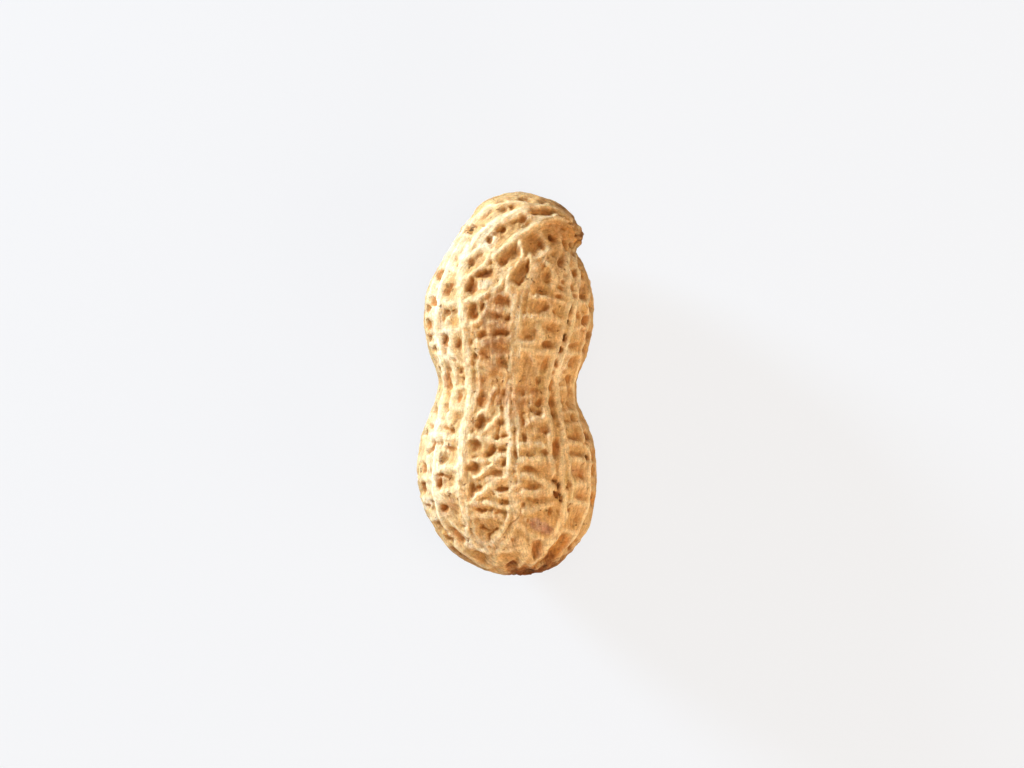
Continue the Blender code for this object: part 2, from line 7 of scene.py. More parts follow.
import bpy
import numpy as np
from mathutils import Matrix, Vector


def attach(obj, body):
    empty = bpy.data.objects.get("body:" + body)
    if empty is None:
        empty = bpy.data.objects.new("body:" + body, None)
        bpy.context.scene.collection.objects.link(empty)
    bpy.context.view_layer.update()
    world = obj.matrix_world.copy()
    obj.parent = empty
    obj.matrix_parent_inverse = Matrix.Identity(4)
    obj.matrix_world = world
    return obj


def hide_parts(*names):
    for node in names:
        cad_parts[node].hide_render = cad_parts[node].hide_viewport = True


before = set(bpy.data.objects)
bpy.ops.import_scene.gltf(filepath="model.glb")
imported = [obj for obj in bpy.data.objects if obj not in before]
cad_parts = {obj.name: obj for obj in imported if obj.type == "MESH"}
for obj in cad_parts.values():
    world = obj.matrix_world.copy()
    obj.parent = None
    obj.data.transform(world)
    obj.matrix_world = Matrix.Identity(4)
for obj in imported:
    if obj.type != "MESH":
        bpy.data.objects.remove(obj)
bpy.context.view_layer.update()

MM = 0.001

# ---- driving dimensions -------------------------------------------------
HALF_LENGTH = 17.84 * MM         # half of the pod's length along Y, without the ridges
SIDE_POWER = 2.15                # roundness of a cross-section: 2 is an ellipse

# Outline seen from above, between the ridges, tip to stem: y, left and right x (mm)
OUTLINE = (
    (17.25, -1.90, 3.82),
    (15.75, -3.32, 5.88),
    (14.25, -4.42, 6.15),
    (12.75, -5.42, 6.16),
    (11.25, -6.22, 6.98),
    (9.00, -7.34, 7.66),
    (6.00, -7.76, 7.90),
    (3.00, -7.24, 7.38),
    (0.00, -6.40, 6.38),
    (-1.50, -6.72, 6.38),
    (-4.50, -7.84, 7.60),
    (-7.50, -8.40, 8.24),
    (-10.50, -8.12, 8.16),
    (-13.50, -6.78, 7.38),
    (-15.75, -5.02, 5.80),
    (-17.25, -2.34, 3.88),
)
# Seen from the side: y, height of the middle, half thickness (mm)
PROFILE = (
    (17.25, 7.55, 2.90),
    (14.25, 7.35, 5.00),
    (11.25, 7.20, 6.40),
    (7.00, 7.05, 7.36),
    (3.00, 7.15, 6.90),
    (-0.75, 7.30, 6.20),
    (-4.50, 7.30, 7.20),
    (-8.50, 7.20, 7.68),
    (-12.00, 7.20, 7.20),
    (-15.75, 7.30, 5.15),
    (-17.25, 7.35, 3.10),
)

RIDGE_RISE = 0.24 * MM           # a ridge of height 1 above the skin between
HOLLOW_DROP = 0.52 * MM          # a hollow of depth 1 below it

BEAK_LEAN = 40.0                 # where the ridges meet, degrees off the +Y end
SCAR_LEAN = 9.0                  # the same at the stem end
BEAK_AT = (6.5, 13.85, 8.3)      # mm
BEAK_SIZE = 1.05                 # mm, how far the beak stands out
BEAK_REACH = (1.6, 1.22, 2.0)    # mm, its half-widths along X, Y, Z
NOTCH_AT = (6.7, 12.55, 8.2)     # mm, hollow just under the beak
NOTCH_SIZE = 0.42
NOTCH_REACH = (1.2, 0.60, 1.8)
BUMP_AT = (-4.5, 14.75, 7.6)     # mm, small bump on the other edge
BUMP_SIZE = 0.28
BUMP_REACH = (0.7, 0.45, 1.0)
SCAR_AT = (1.9, -17.9, 7.9)      # mm, dimple where the stem was
SCAR_SIZE = 0.38
SCAR_REACH = (1.1, 1.0, 1.1)

# long ridges of the lower side, degrees round from the top; the first and the
# last are the edges of the upper side
UNDER_RIDGES = (84.0, 101.0, 119.0, 139.0, 161.0, 184.0, 207.0, 228.0, 247.0, 264.0,
                280.0)
END_RIDGES = (-72.0, -50.0, -24.0, 3.0, 30.0, 58.0)   # short ones above the scar

# The net on the upper side, traced on a fine grid laid over the pod as
# seen from above. One grid step is GRID_STEP, x runs right, y runs down and
# GRID_MIDDLE is the middle of the pod.
GRID_STEP = 36.0 / 384 * MM
GRID_MIDDLE = (508.0, 384.0)
EYE_HEIGHT = 328.0 * MM          # the grid was seen from this height

# ridges: half-width (grid steps), height (0 to 1), points along the crest
RIDGE_LINES = (
    # long ridges, left to right
    (4.2, 0.80, ((469, 222), (460, 236), (450, 250), (441, 264), (434, 280), (429, 296),
                 (426, 312), (425, 330), (428, 347), (432, 358), (437, 372), (438.5, 386),
                 (438, 397), (433, 406), (430, 418), (424, 432), (420, 448), (418.5, 464),
                 (418.5, 480), (420, 496), (424, 510), (431, 522), (440, 536), (450, 547),
                 (462, 558))),
    (3.6, 1.00, ((489, 207), (481, 213), (474, 221), (465, 238), (456, 252), (449, 264),
                 (444, 278), (440, 292), (438, 305), (437, 318), (437, 332), (439, 346),
                 (441, 357), (443.5, 367), (445, 378), (445, 390), (442, 401), (440, 412),
                 (438, 421), (437, 431), (436.5, 440), (437, 450), (437, 458), (436, 466),
                 (435, 476), (434.5, 486), (435.5, 496), (437.5, 506), (440, 515),
                 (443.5, 523), (448, 531), (453, 538.5), (457, 545), (463, 551.5), (470, 557),
                 (478, 562.5), (487, 567))),
    (3.2, 0.75, ((452, 331), (452, 343), (450, 352), (451.5, 361), (454.5, 370), (456, 380),
                 (455.5, 390), (453, 399), (450.5, 408), (449, 418), (449, 424))),
    (4.0, 1.10, ((528, 209), (518, 213), (507, 217), (497, 222), (489, 228), (482, 234),
                 (475, 240), (468, 248), (464, 257), (461, 268), (460, 280), (460, 292),
                 (460, 303), (462, 315), (463.5, 327))),
    (3.1, 0.95, ((463.5, 327), (465.5, 338), (466.5, 350), (468, 362), (468, 374),
                 (469, 386), (470, 396), (469, 406), (466.5, 418))),
    (4.0, 1.05, ((466.5, 418), (464.5, 430), (462.5, 442), (461.5, 454), (461.5, 464),
                 (460.5, 474), (459.5, 484), (460, 494))),
    (2.1, 1.00, ((460, 494), (461, 504), (463, 514), (465.5, 524), (468, 533),
                 (472, 542), (479, 549.5), (488, 553))),
    (2.0, 0.80, ((466, 499), (467, 507), (467.8, 515), (468.3, 523))),
    (1.9, 0.60, ((473, 522), (475.3, 531), (479, 538.5), (485, 545))),
    (2.2, 0.58, ((471, 326), (474, 334), (477.5, 342), (478.5, 352), (479, 362), (478.5, 372),
                 (479, 382), (477, 392), (474, 402), (472.5, 411))),
    (2.8, 0.95, ((511, 270), (508, 280), (509, 290), (514, 297), (514, 306))),
    (2.4, 0.50, ((512.5, 306), (512, 320), (511.5, 332), (511.5, 345), (511.5, 358),
                 (511, 370))),
    (2.5, 1.10, ((509.5, 384), (508.5, 392), (507, 400), (507.5, 412), (510, 424),
                 (511.5, 436), (511, 448), (510, 460), (508.5, 470))),
    (1.5, 0.75, ((508.5, 470), (509, 483), (510.5, 495), (511, 507))),
    (2.4, 0.95, ((511, 507), (509, 518), (505, 528), (500, 537), (494, 544), (487, 548))),
    (2.2, 0.60, ((527, 287), (523, 298), (521, 308), (520.5, 320), (520.5, 333))),
    (5.2, 0.52, ((518, 300), (517, 312), (516.5, 326), (516.5, 340), (516.5, 354),
                 (515.5, 368), (514.5, 382))),
    (4.4, 0.50, ((514, 382), (514.5, 396), (516, 410), (517, 425), (517.5, 440),
                 (517.5, 455), (516, 466))),
    (5.0, 0.80, ((514.5, 466), (514.5, 478), (515.5, 490), (516, 502), (516, 512))),
    (2.4, 0.85, ((519.5, 500), (519, 510), (517, 520), (512, 531), (506, 541), (500, 549),
                 (495, 557), (494, 567))),
    (2.8, 0.95, ((568, 253), (567, 265), (568.5, 278), (569, 290), (569.5, 300), (567, 311),
                 (565, 322), (562, 333), (559, 343), (555.5, 353), (552, 363), (549, 373),
                 (547, 383), (546.5, 393), (547, 403), (548, 413), (549.5, 423), (551, 433),
                 (550.5, 443), (550.5, 453), (552, 463), (553, 473))),
    (3.0, 1.10, ((579, 240), (574, 250), (574.5, 260), (577.5, 270), (578.5, 280),
                 (576.5, 290), (575.5, 301), (574, 312), (572, 322), (569.5, 332),
                 (567, 342), (564, 352), (560.5, 362), (557.5, 371), (556, 381), (556, 391),
                 (557.5, 401), (559, 411), (561, 421), (562.5, 431), (562.5, 441),
                 (562.5, 451), (562, 461), (562, 471), (562.5, 481), (564, 491),
                 (564.5, 501), (563, 511), (560.5, 520), (556.5, 529), (551.5, 538),
                 (546, 546), (540, 554), (533, 562))),
    (2.2, 0.85, ((563, 431), (566, 441), (567.5, 451), (568.5, 461), (569.5, 471),
                 (571.5, 480), (573, 489), (571.5, 498), (567.5, 508), (565.5, 517),
                 (562.5, 526), (558, 535), (552, 544), (545, 552), (538, 559), (531, 566))),
    (3.0, 0.90, ((580, 247), (584, 260), (588, 274), (591, 288), (593, 302), (594, 316),
                 (593, 330), (591.5, 342), (588.5, 355), (584, 366), (580, 376),
                 (577.5, 386), (576.5, 396), (579, 405), (583, 415), (587, 425),
                 (590.5, 436), (594, 447), (596, 458), (597.5, 470), (597, 485),
                 (596, 498), (594, 508), (590, 520), (585, 531), (578, 541), (570, 550),
                 (560, 559), (548, 567))),
    (2.4, 0.95, ((589, 290), (587, 303), (588, 313), (589, 321), (587, 328), (585, 336),
                 (583, 344), (581, 352), (580, 360), (577.5, 368), (575, 376), (573.5, 386),
                 (573, 396), (574.5, 405), (576.5, 413), (578.5, 421), (581.5, 429),
                 (583.5, 437), (586, 446), (589.5, 454), (590, 464), (589.5, 475),
                 (590, 486), (589.5, 497), (587.5, 507), (584.5, 517), (581, 526),
                 (575.5, 535), (569, 544), (561, 552), (552, 560), (541, 567))),
    # over the crown to the beak
    (2.6, 0.75, ((486, 207), (496, 205), (507, 202), (518, 201.5), (530, 204.5), (541, 206),
                 (552, 206.5), (560, 211), (568, 218), (575, 226), (580, 234))),
    (3.0, 0.90, ((520, 211), (528, 215), (535, 217.5), (545, 217.5), (552, 216), (560, 215))),
    (3.0, 1.25, ((494, 257), (500, 251.5), (507, 247), (513, 242), (518, 236.5), (525, 231),
                 (532, 227), (540, 222))),
    (2.3, 1.25, ((540, 222), (548, 218), (556, 216), (563, 218), (570, 222.5),
                 (576, 228), (581, 234.5))),
    (2.8, 0.85, ((466, 262), (472, 254), (480, 248.5), (487, 245.5), (494, 250), (500, 252))),
    (2.4, 0.90, ((519, 237), (521, 246), (523, 255), (522, 261), (516, 267), (511, 271))),
    (3.6, 0.66, ((536, 230), (541, 237), (546, 243), (549, 249), (542, 254), (534, 258),
                 (527, 259))),
    (2.6, 0.38, ((532, 258), (534, 268), (532.5, 278), (528, 287), (521, 289.5), (513, 285),
                 (509, 280))),
    (3.2, 0.40, ((558, 228), (560, 237), (561, 246), (555, 249), (549, 250))),
    (2.4, 0.70, ((545, 262), (551, 266), (554, 273), (556, 281), (552, 288))),
    # cross ridges between the long ones, top to bottom
    (2.5, 0.80, ((460, 280), (470, 275), (479, 269), (487, 262), (490, 255))),
    (2.6, 1.05, ((467, 301), (476, 299), (485, 296), (493, 291), (500, 286), (502.5, 279))),
    (2.1, 1.00, ((472, 323), (480, 320.5), (485, 315), (488, 309), (488, 303))),
    (2.4, 0.62, ((488, 302), (494, 297), (502, 293), (510, 292))),
    (2.8, 0.60, ((489, 310), (498, 311.5), (508, 311), (514, 309))),
    (2.8, 0.65, ((486, 321), (494, 322.5), (500, 325.5), (506, 328.5), (513, 330))),
    (3.4, 0.62, ((478, 343), (486, 343), (494, 341), (503, 340.5), (512, 341))),
    (2.2, 0.50, ((492, 342), (492.5, 352), (493, 362))),
    (2.4, 0.50, ((494, 356), (503, 355.5), (512, 356))),
    (3.0, 0.40, ((478, 363), (487, 364), (495, 368), (503, 371.5), (510, 373))),
    (2.0, 0.36, ((503, 382), (505.5, 376.5), (510, 373))),
    (2.2, 1.05, ((480, 414.5), (486, 409.5), (489, 402), (492, 395), (496, 390))),
    (2.0, 0.70, ((497, 398), (498, 407), (500, 415))),
    (2.4, 0.90, ((482, 431.5), (488, 427.5), (494, 423), (500, 417))),
    (2.8, 0.85, ((470, 437), (480, 438.5), (490, 441), (500, 442.5), (510, 440))),
    (2.2, 0.80, ((497, 460), (501, 455.5), (509, 455))),
    (2.4, 0.90, ((470, 462), (478, 461), (487, 461.5), (495, 461), (500, 458))),
    (2.4, 0.95, ((474, 477.5), (480, 476), (487, 471), (492, 466))),
    (2.4, 0.90, ((489, 480.5), (497, 480.5), (505, 478.5), (509, 474))),
    (2.6, 1.10, ((473, 499), (479, 494.5), (486, 490), (492, 485))),
    (2.2, 0.80, ((491, 485), (494, 491), (501, 495.5), (509, 495))),
    (2.8, 0.80, ((468, 504), (478, 503), (488, 503), (497, 505.5), (508, 510))),
    (2.8, 0.80, ((472, 518), (482, 517), (492, 517), (502, 520))),
    (2.4, 0.80, ((536, 297), (545, 298), (554, 300.5), (562, 302))),
    (2.4, 0.70, ((549, 301), (551, 310), (551, 319))),
    (3.2, 0.85, ((522, 317), (531, 317.5), (541, 318), (551, 319), (562, 321))),
    (2.6, 0.80, ((538, 325), (541, 333), (542, 340), (533, 343), (523, 343))),
    (2.8, 0.85, ((521, 349), (533, 350), (543, 351.5), (553, 352))),
    (2.4, 0.65, ((531, 352), (534, 362), (537, 373))),
    (2.6, 0.35, ((519, 400), (529, 397), (540, 393), (548, 392))),
    (3.0, 0.95, ((527, 423), (533, 420.5), (541, 419), (549, 419))),
    (2.8, 0.90, ((520, 447), (530, 444), (539, 444.5), (546, 448), (551, 451))),
    (4.0, 0.85, ((520, 462), (530, 461.5), (541, 460.5), (552, 461))),
    (2.8, 0.90, ((519, 475), (528, 476), (538, 480), (547, 484.5), (552, 487))),
    (3.6, 0.90, ((520, 493), (530, 493), (541, 493), (551, 491))),
    (3.0, 0.85, ((520, 512), (530, 510.5), (541, 508), (551, 505))),
    (3.0, 0.60, ((517, 524), (527, 532), (537, 538), (547, 541))),
    (3.6, 0.75, ((520, 541), (524, 550), (524, 560), (520, 567))),
    (3.4, 0.75, ((547, 541), (545, 549), (540, 556), (535, 562))),
    (2.2, 0.75, ((571, 300), (577, 302.5), (586, 302))),
    (2.2, 0.75, ((572, 331), (579, 327.5), (588, 327))),
    (2.2, 0.70, ((565, 354), (573, 352.5), (581, 353))),
    (2.2, 0.60, ((557, 390), (564, 388), (572, 387))),
    (2.2, 0.65, ((560, 414), (568, 411.5), (576, 413))),
    (2.2, 0.65, ((562, 428), (570, 427), (574, 424), (580, 424))),
    (2.6, 0.85, ((566, 443), (574, 444), (585, 444.5))),
    (2.6, 0.85, ((568, 460), (577, 459.5), (589, 461))),
    (2.6, 0.85, ((572, 484), (580, 484), (590, 484.5))),
    (2.6, 0.85, ((571, 503), (580, 502.5), (588, 505))),
    (2.4, 0.85, ((564, 530), (571, 531), (576, 534))),
    (2.4, 0.80, ((440, 300), (449, 303), (460, 302))),
    (2.6, 0.80, ((437, 331), (446, 331.5), (455, 331), (464, 329))),
    (2.0, 0.65, ((441, 357), (447, 357), (451, 360))),
    (2.2, 0.70, ((452, 352), (459, 362), (467, 366))),
    (2.2, 0.70, ((455, 389), (462, 388), (470, 389))),
    (2.2, 0.70, ((452, 408), (459, 409), (468, 410))),
    (3.2, 0.90, ((437, 435), (446, 438), (455, 438), (464, 437))),
    (3.4, 0.90, ((437, 466), (446, 467.5), (455, 467.5), (463, 465))),
    (3.2, 0.90, ((436, 495), (446, 493), (455, 490), (461, 487))),
    (2.1, 0.60, ((446, 517), (452, 524), (459, 529.5), (466, 534))),
    (2.6, 0.75, ((426, 316), (437, 315))),
    (2.4, 0.70, ((426, 331), (437, 331))),
    (2.4, 0.75, ((430, 344), (439, 342))),
    (2.6, 0.75, ((421, 438), (436, 436))),
    (2.6, 0.80, ((419, 459), (437, 459))),
    (2.6, 0.80, ((419, 479), (434, 479))),
    (2.6, 0.80, ((420, 498), (436, 498))),
    (2.6, 0.75, ((431, 519), (442, 518))),
    (2.6, 0.75, ((437, 286), (443, 283))),
    (2.6, 0.70, ((446, 264), (455, 270), (461, 272))),
    # low end round the stem scar
    (2.4, 0.60, ((488, 551), (495, 553), (506, 550.5), (516, 549), (524, 552))),
    (2.2, 0.45, ((487, 567), (490, 561), (494, 556))),
    (2.4, 0.55, ((461, 549), (467, 548.5), (473, 546))),
)

# hollows: x, y, half-lengths along and across, tilt in degrees, depth (0 to 1)
HOLLOWS = (
    # crown
    (500, 200.5, 5, 2.2, -20, 0.45), (526, 198.5, 6.5, 2.4, 5, 0.75),
    (533, 194.5, 3, 1.2, 5, 0.35), (543.5, 202.3, 3, 1.3, 15, 0.50),
    (552, 203, 8, 1.1, 20, 0.40), (503, 209.5, 4.2, 2.2, -48, 0.90),
    (512.5, 206, 3.6, 2.8, -35, 0.85), (519.5, 205.3, 2.5, 1.6, 0, 0.35),
    (486, 215, 8.5, 1.3, -40, 0.65), (536, 210.5, 6, 3.2, 8, 0.60),
    (547, 212, 7, 3.4, 5, 0.85), (554, 210.5, 4, 1.6, 40, 0.50),
    (523.5, 218.5, 4.6, 3.2, -50, 0.75), (516.5, 221.5, 4, 2, -15, 0.45),
    (520.5, 226, 1.6, 4, 10, 0.35), (529, 223.5, 1.6, 2.2, 0, 0.50),
    (514, 226, 1.5, 3, 10, 0.30), (468.5, 228, 2, 2.4, -30, 0.80),
    (470.5, 231, 2.2, 2.6, 0, 0.90), (474, 226, 2.6, 1.5, 0, 0.80),
    (465.5, 232.5, 1.6, 1.4, 0, 0.50), (485, 226.3, 2.8, 1.5, 0, 0.60),
    (491.5, 226.8, 2.4, 1.2, -10, 0.25), (503.5, 229, 3.6, 2.2, -35, 1.00),
    (496.5, 233, 6, 1.5, -42, 0.75), (490, 239.2, 3, 2.4, -40, 1.00),
    (502.5, 238.5, 7.5, 6.0, -40, 0.45), (492.5, 246.5, 2.2, 2.4, 0, 0.45),
    (470.3, 242.5, 1.3, 4.2, 5, 0.60), (476.5, 247, 4, 1.2, -35, 0.35),
    (459, 247, 2.4, 1.2, -45, 0.45), (455, 246, 2, 1.2, -45, 0.30),
    (463, 237.5, 1.6, 1.4, 0, 0.45), (456.5, 258.5, 1.4, 3, 25, 0.50),
    (457, 265, 2.2, 1.8, 0, 0.50), (478.5, 260.5, 9.0, 5.5, -42, 0.45),
    (471, 260.5, 2.4, 4.2, 10, 1.00), (478, 254.5, 6, 1.3, -35, 0.80),
    (491, 262, 1.5, 2.6, -10, 0.45), (440, 274, 6.0, 2.0, -58, 0.95),
    # under the beak's rim
    (552.8, 237, 2.3, 4.6, -32, 1.20), (549, 229, 6.0, 7.0, 0, 0.36),
    (557.5, 240.8, 2.2, 1.1, 12, 0.60), (551.5, 223.4, 1.3, 1.5, 0, 0.65),
    (556.4, 227, 1.4, 2.6, 0, 0.60), (571.5, 223.2, 2.8, 1.0, 16, 1.00),
    (576.5, 226.6, 1.2, 1.8, 0, 0.70), (565.5, 235.5, 1.6, 1.4, 0, 0.55),
    (572.5, 236, 2.4, 1.0, -30, 0.50), (579.3, 235, 2.4, 0.9, 0, 1.15),
    (567, 218.8, 3.0, 1.2, 10, 0.60), (561.5, 214.8, 2.4, 1.1, 15, 0.70),
    (551.5, 210.5, 1.2, 3.0, 30, 0.70), (575.8, 222.5, 1.2, 2.6, -35, 0.80),
    (564.5, 228, 3.4, 1.3, 20, 0.85), (566, 231, 9.0, 8.0, 20, 0.30), (535.6, 243.2, 10.2, 7.4, 52, 0.84),
    (542.3, 244.5, 1.7, 5.6, -30, 1.00), (536.5, 253, 3, 2, 30, 0.50),
    (528.5, 237, 4, 1.8, -10, 0.35), (511.5, 253.5, 8.6, 7.6, -25, 0.90),
    (518, 250.5, 1.8, 6.5, -15, 0.90), (504.5, 261.5, 4.4, 4.8, -10, 1.00),
    (521.3, 272.5, 7.0, 11.5, 24, 0.80), (527.8, 265.5, 1.8, 6.0, 8, 1.00),
    (523.0, 279.5, 1.8, 5.2, 40, 0.85), (516.5, 281, 1.7, 4.0, -50, 0.90),
    (519.8, 283.5, 2.2, 1.6, 0, 0.90),
    (561.5, 262, 3.2, 5.0, 12, 1.00), (564, 256, 1.6, 3, 10, 0.60),
    (554, 254, 2.4, 2.0, 0, 0.60), (566.3, 243.3, 1.6, 3.0, -35, 1.00), (567.2, 248.5, 1.3, 2.4, 0, 0.60),
    (572, 245, 1.2, 2.6, 0, 1.00), (577, 244.5, 1.1, 2.4, 0, 0.80),
    (579.3, 240, 1.2, 2.8, 32, 0.95), (543, 265.5, 1.5, 4.2, 28, 0.55),
    (546.5, 276.5, 4.6, 6.2, 0, 0.65), (549, 275, 1.6, 4.5, -10, 0.60),
    (548, 281, 3.6, 1.8, 10, 0.60), (563.5, 282, 1.6, 2.8, 0, 0.70),
    (564, 275, 1.6, 1.6, 0, 0.45), (573, 254.5, 1.3, 3.0, 0, 0.70),
    (573.7, 273, 1.5, 4.6, -5, 0.90), (571, 262, 1.2, 4.0, -8, 0.40),
    (578.5, 262, 1.4, 4.2, -8, 0.60), (581.5, 272, 1.4, 5.2, -22, 0.85),
    # left of the middle, beaked lobe
    (448, 288, 2.8, 6.2, 28, 1.00), (455, 284, 4.4, 1.7, 5, 0.45),
    (471.4, 287.4, 4.3, 6.6, 0, 1.20), (484.5, 274.3, 8.5, 2.9, -14, 1.10),
    (472, 279, 2.0, 2.2, 0, 1.00),
    (490.5, 276, 2.4, 2.0, 0, 0.50), (484, 284, 9.0, 7.0, -20, 0.35),
    (490.5, 285, 1.8, 2.6, 10, 0.35), (433.5, 301, 2.8, 4.3, -25, 0.95),
    (429, 308.5, 1.5, 3.8, 20, 0.85), (428.3, 324.5, 1.5, 4.6, -5, 1.00),
    (433.5, 324, 1.5, 3.0, -35, 0.30), (451, 319, 7.2, 10.0, 0, 0.35),
    (446.5, 312.3, 3.5, 2.9, -20, 0.90), (455.5, 311.5, 3.2, 2.4, 10, 0.60),
    (443.5, 318.5, 1.6, 4.2, 25, 0.60), (452, 323.5, 2.8, 2.8, 0, 0.50),
    (450, 298, 1.6, 3.0, 30, 0.35), (473.6, 313, 4.0, 7.6, -8, 1.00), (475, 316.5, 2.4, 3.2, 0, 0.90), (483.5, 307.5, 2.4, 4.2, 20, 0.75),
    (505, 302, 8.5, 5.2, 12, 0.60), (509.5, 304, 3.0, 3.6, 0, 0.65),
    (500, 317.5, 9.0, 4.0, 14, 0.45), (496, 316, 2.6, 2.2, 20, 0.60),
    (508, 319, 3.0, 2.6, 15, 0.95), (477, 327.5, 3, 1.5, 0, 0.30),
    (481.5, 335.5, 5.0, 3.6, -25, 0.80), (480, 338.5, 2.0, 2.2, 0, 0.60),
    (474, 334, 1.0, 3.5, -35, 0.45), (502, 334, 6.5, 3.2, 0, 0.80),
    (505, 333.5, 2.2, 1.8, 0, 0.50), (445.3, 341, 2.5, 5.8, 4, 0.85),
    (445, 352, 1.3, 4.5, 0, 0.40), (430, 337.5, 1.3, 3.6, 0, 0.80),
    (434, 335.5, 1.8, 1.2, 0, 0.35), (436, 349, 1.7, 3.1, -32, 0.85),
    (435, 360, 1.0, 4.0, -20, 0.35), (459.8, 344.5, 2.5, 6.0, -4, 0.75),
    (461, 354.5, 1.0, 3.0, -20, 0.45), (454, 359.5, 2.6, 2.2, 10, 0.55),
    (472, 342.5, 1.3, 3.8, -10, 0.60), (485, 354.5, 5.0, 5.0, 0, 0.50),
    (486.5, 357.8, 2.4, 1.9, 0, 0.75), (479.8, 353, 1.2, 1.6, 0, 0.55),
    (475.7, 356.5, 1.6, 3.6, -10, 0.95), (474, 364.5, 1.5, 2.8, 0, 0.48),
    (504, 349.5, 5.8, 3.9, 0, 0.52), (503.5, 363, 4.4, 3.6, 20, 0.58),
    (506.3, 366, 1.9, 2.4, 0, 0.70), (481, 368.3, 3.0, 1.5, 15, 0.45),
    (440.3, 369.5, 1.2, 3.0, -15, 0.70), (441.5, 381, 0.9, 6.0, 0, 0.30),
    (448, 367, 1.7, 4.4, -12, 0.50), (448.7, 370.5, 1.9, 2.2, 0, 0.60),
    (449.4, 380.5, 1.8, 8.0, -6, 0.85), (449.5, 387.3, 2.2, 1.9, 0, 0.60),
    (448.4, 395, 1.6, 2.6, 15, 0.55), (461.6, 371.8, 2.4, 3.0, 10, 0.52),
    (464.3, 378.2, 1.5, 3.2, 0, 0.50), (463.3, 383.8, 1.3, 2.0, 0, 0.55),
    (475, 371.5, 1.4, 3.4, 0, 0.45), (475.7, 379.5, 1.2, 4.4, 0, 0.62),
    (475, 387, 1.2, 3.0, 0, 0.42), (484.5, 383, 4.6, 4.4, 0, 0.32),
    (484.0, 384.5, 1.5, 2.4, 0, 0.32), (495.5, 375.5, 3.2, 2.8, 0, 0.32),
    (503, 376, 2.2, 2.0, 0, 0.34), (499.5, 383.5, 4.6, 3.6, 20, 0.42),
    (508.5, 386, 1.6, 1.6, 0, 0.45),
    # waist and stem lobe, left
    (460.3, 397.5, 1.5, 5.6, 8, 0.80), (445.5, 405, 1.7, 1.9, 0, 0.65),
    (447.3, 408.8, 1.7, 1.7, 0, 0.75), (435, 410, 1.7, 3.8, 8, 0.70),
    (431, 424.8, 1.9, 1.8, 0, 0.60), (426.3, 432.8, 1.6, 2.3, 10, 0.55),
    (442, 418, 2.0, 1.5, 0, 0.35), (457.5, 415.5, 2.4, 2.4, 10, 0.65),
    (455.6, 421, 1.3, 3.0, 20, 0.50), (444.7, 427.8, 2.4, 1.5, 5, 0.85),
    (452, 430.7, 2.9, 2.1, 20, 0.90), (451, 435, 1.0, 1.5, 0, 0.35),
    (474.5, 398, 1.6, 2.0, 0, 0.40), (472.5, 414, 1.6, 3.0, 0, 0.40),
    (476.5, 413.5, 1.6, 2.4, 0, 0.40), (483.3, 401, 5.0, 8.2, 18, 0.80),
    (482.5, 404.5, 2.4, 2.8, 20, 0.60), (487, 397.3, 1.4, 3.0, 10, 0.50),
    (495.7, 406, 2.2, 9.5, 0, 0.60), (502, 407, 1.7, 2.8, 0, 0.85),
    (500.8, 401, 1.2, 2.2, 0, 0.45), (506, 394, 2.2, 4.5, 0, 0.60),
    (480.5, 424, 4.2, 7.6, 8, 0.95), (486.5, 420.5, 5.0, 2.6, 5, 0.75),
    (501, 423, 4.6, 2.6, -10, 0.60), (502, 424.3, 1.6, 1.6, 0, 0.45),
    (498, 429, 1.2, 3.5, 10, 0.50), (504, 435.7, 4.0, 1.9, -18, 0.80),
    (496.5, 437, 2.3, 2.7, 25, 0.85), (486.5, 436, 2.8, 1.3, 0, 0.35),
    (472.3, 431.5, 1.2, 2.2, 10, 0.60), (467, 437.5, 1.1, 2.6, 0, 0.40),
    (432.7, 445.5, 2.0, 6.2, 12, 1.00), (437, 443.3, 1.4, 2.6, -20, 0.70),
    (441.5, 443.5, 1.3, 1.9, -20, 0.60), (427.7, 453, 2.0, 2.6, 0, 0.65),
    (476.5, 446, 4.8, 5.0, 0, 0.95), (474, 450, 2.2, 1.4, 0, 0.40),
    (475.7, 457, 3.8, 1.4, -10, 0.60), (451, 455.5, 7.8, 7.6, 0, 0.50),
    (451, 449.3, 6.5, 2.1, 5, 0.65), (446.5, 449.5, 2.0, 1.8, 0, 0.50),
    (444.3, 456.5, 1.2, 5.0, 18, 0.55), (444, 460, 1.9, 4.2, 28, 0.90),
    (451.5, 459.5, 1.8, 3.6, 0, 0.35), (491.7, 452.3, 3.2, 6.6, 38, 0.85),
    (502.5, 451.3, 4.2, 2.5, 0, 0.80), (499.5, 448.5, 3.4, 1.5, 10, 0.40),
    (504.7, 463.5, 2.4, 3.2, 0, 0.75), (490.5, 465, 2.6, 1.4, 0, 0.35),
    (475.3, 468.8, 6.2, 4.6, 22, 0.90), (475.5, 472.8, 2.8, 1.6, 0, 0.60),
    (496.3, 473.5, 7.2, 3.4, 8, 0.70), (501, 474.8, 2.8, 1.6, 0, 0.60),
    (423.5, 468.5, 2.1, 5.2, 0, 0.90), (423.5, 488.5, 2.1, 5.2, 0, 0.95),
    (431, 474, 0.9, 8.0, 3, 0.40), (447.5, 482, 9.2, 8.6, 0, 0.50),
    (440.3, 476, 3.0, 1.9, 0, 0.75), (439.6, 484.5, 1.5, 6.4, 0, 0.95),
    (449.5, 478, 6.5, 1.5, 22, 0.65), (463.2, 484, 0.9, 3.2, 0, 0.40),
    (468, 474, 1.0, 4.0, 0, 0.35), (473, 487.5, 2.6, 6.8, 0, 0.70),
    (478.5, 489, 6.0, 3.0, -18, 0.85), (473.5, 495, 2.4, 1.5, -40, 0.70),
    (503, 489.8, 6.0, 2.2, 0, 1.00), (496.5, 490, 2.5, 1.3, 0, 0.40),
    (451, 495.3, 1.5, 1.4, 0, 0.70), (484, 499, 2.6, 1.3, 0, 0.30),
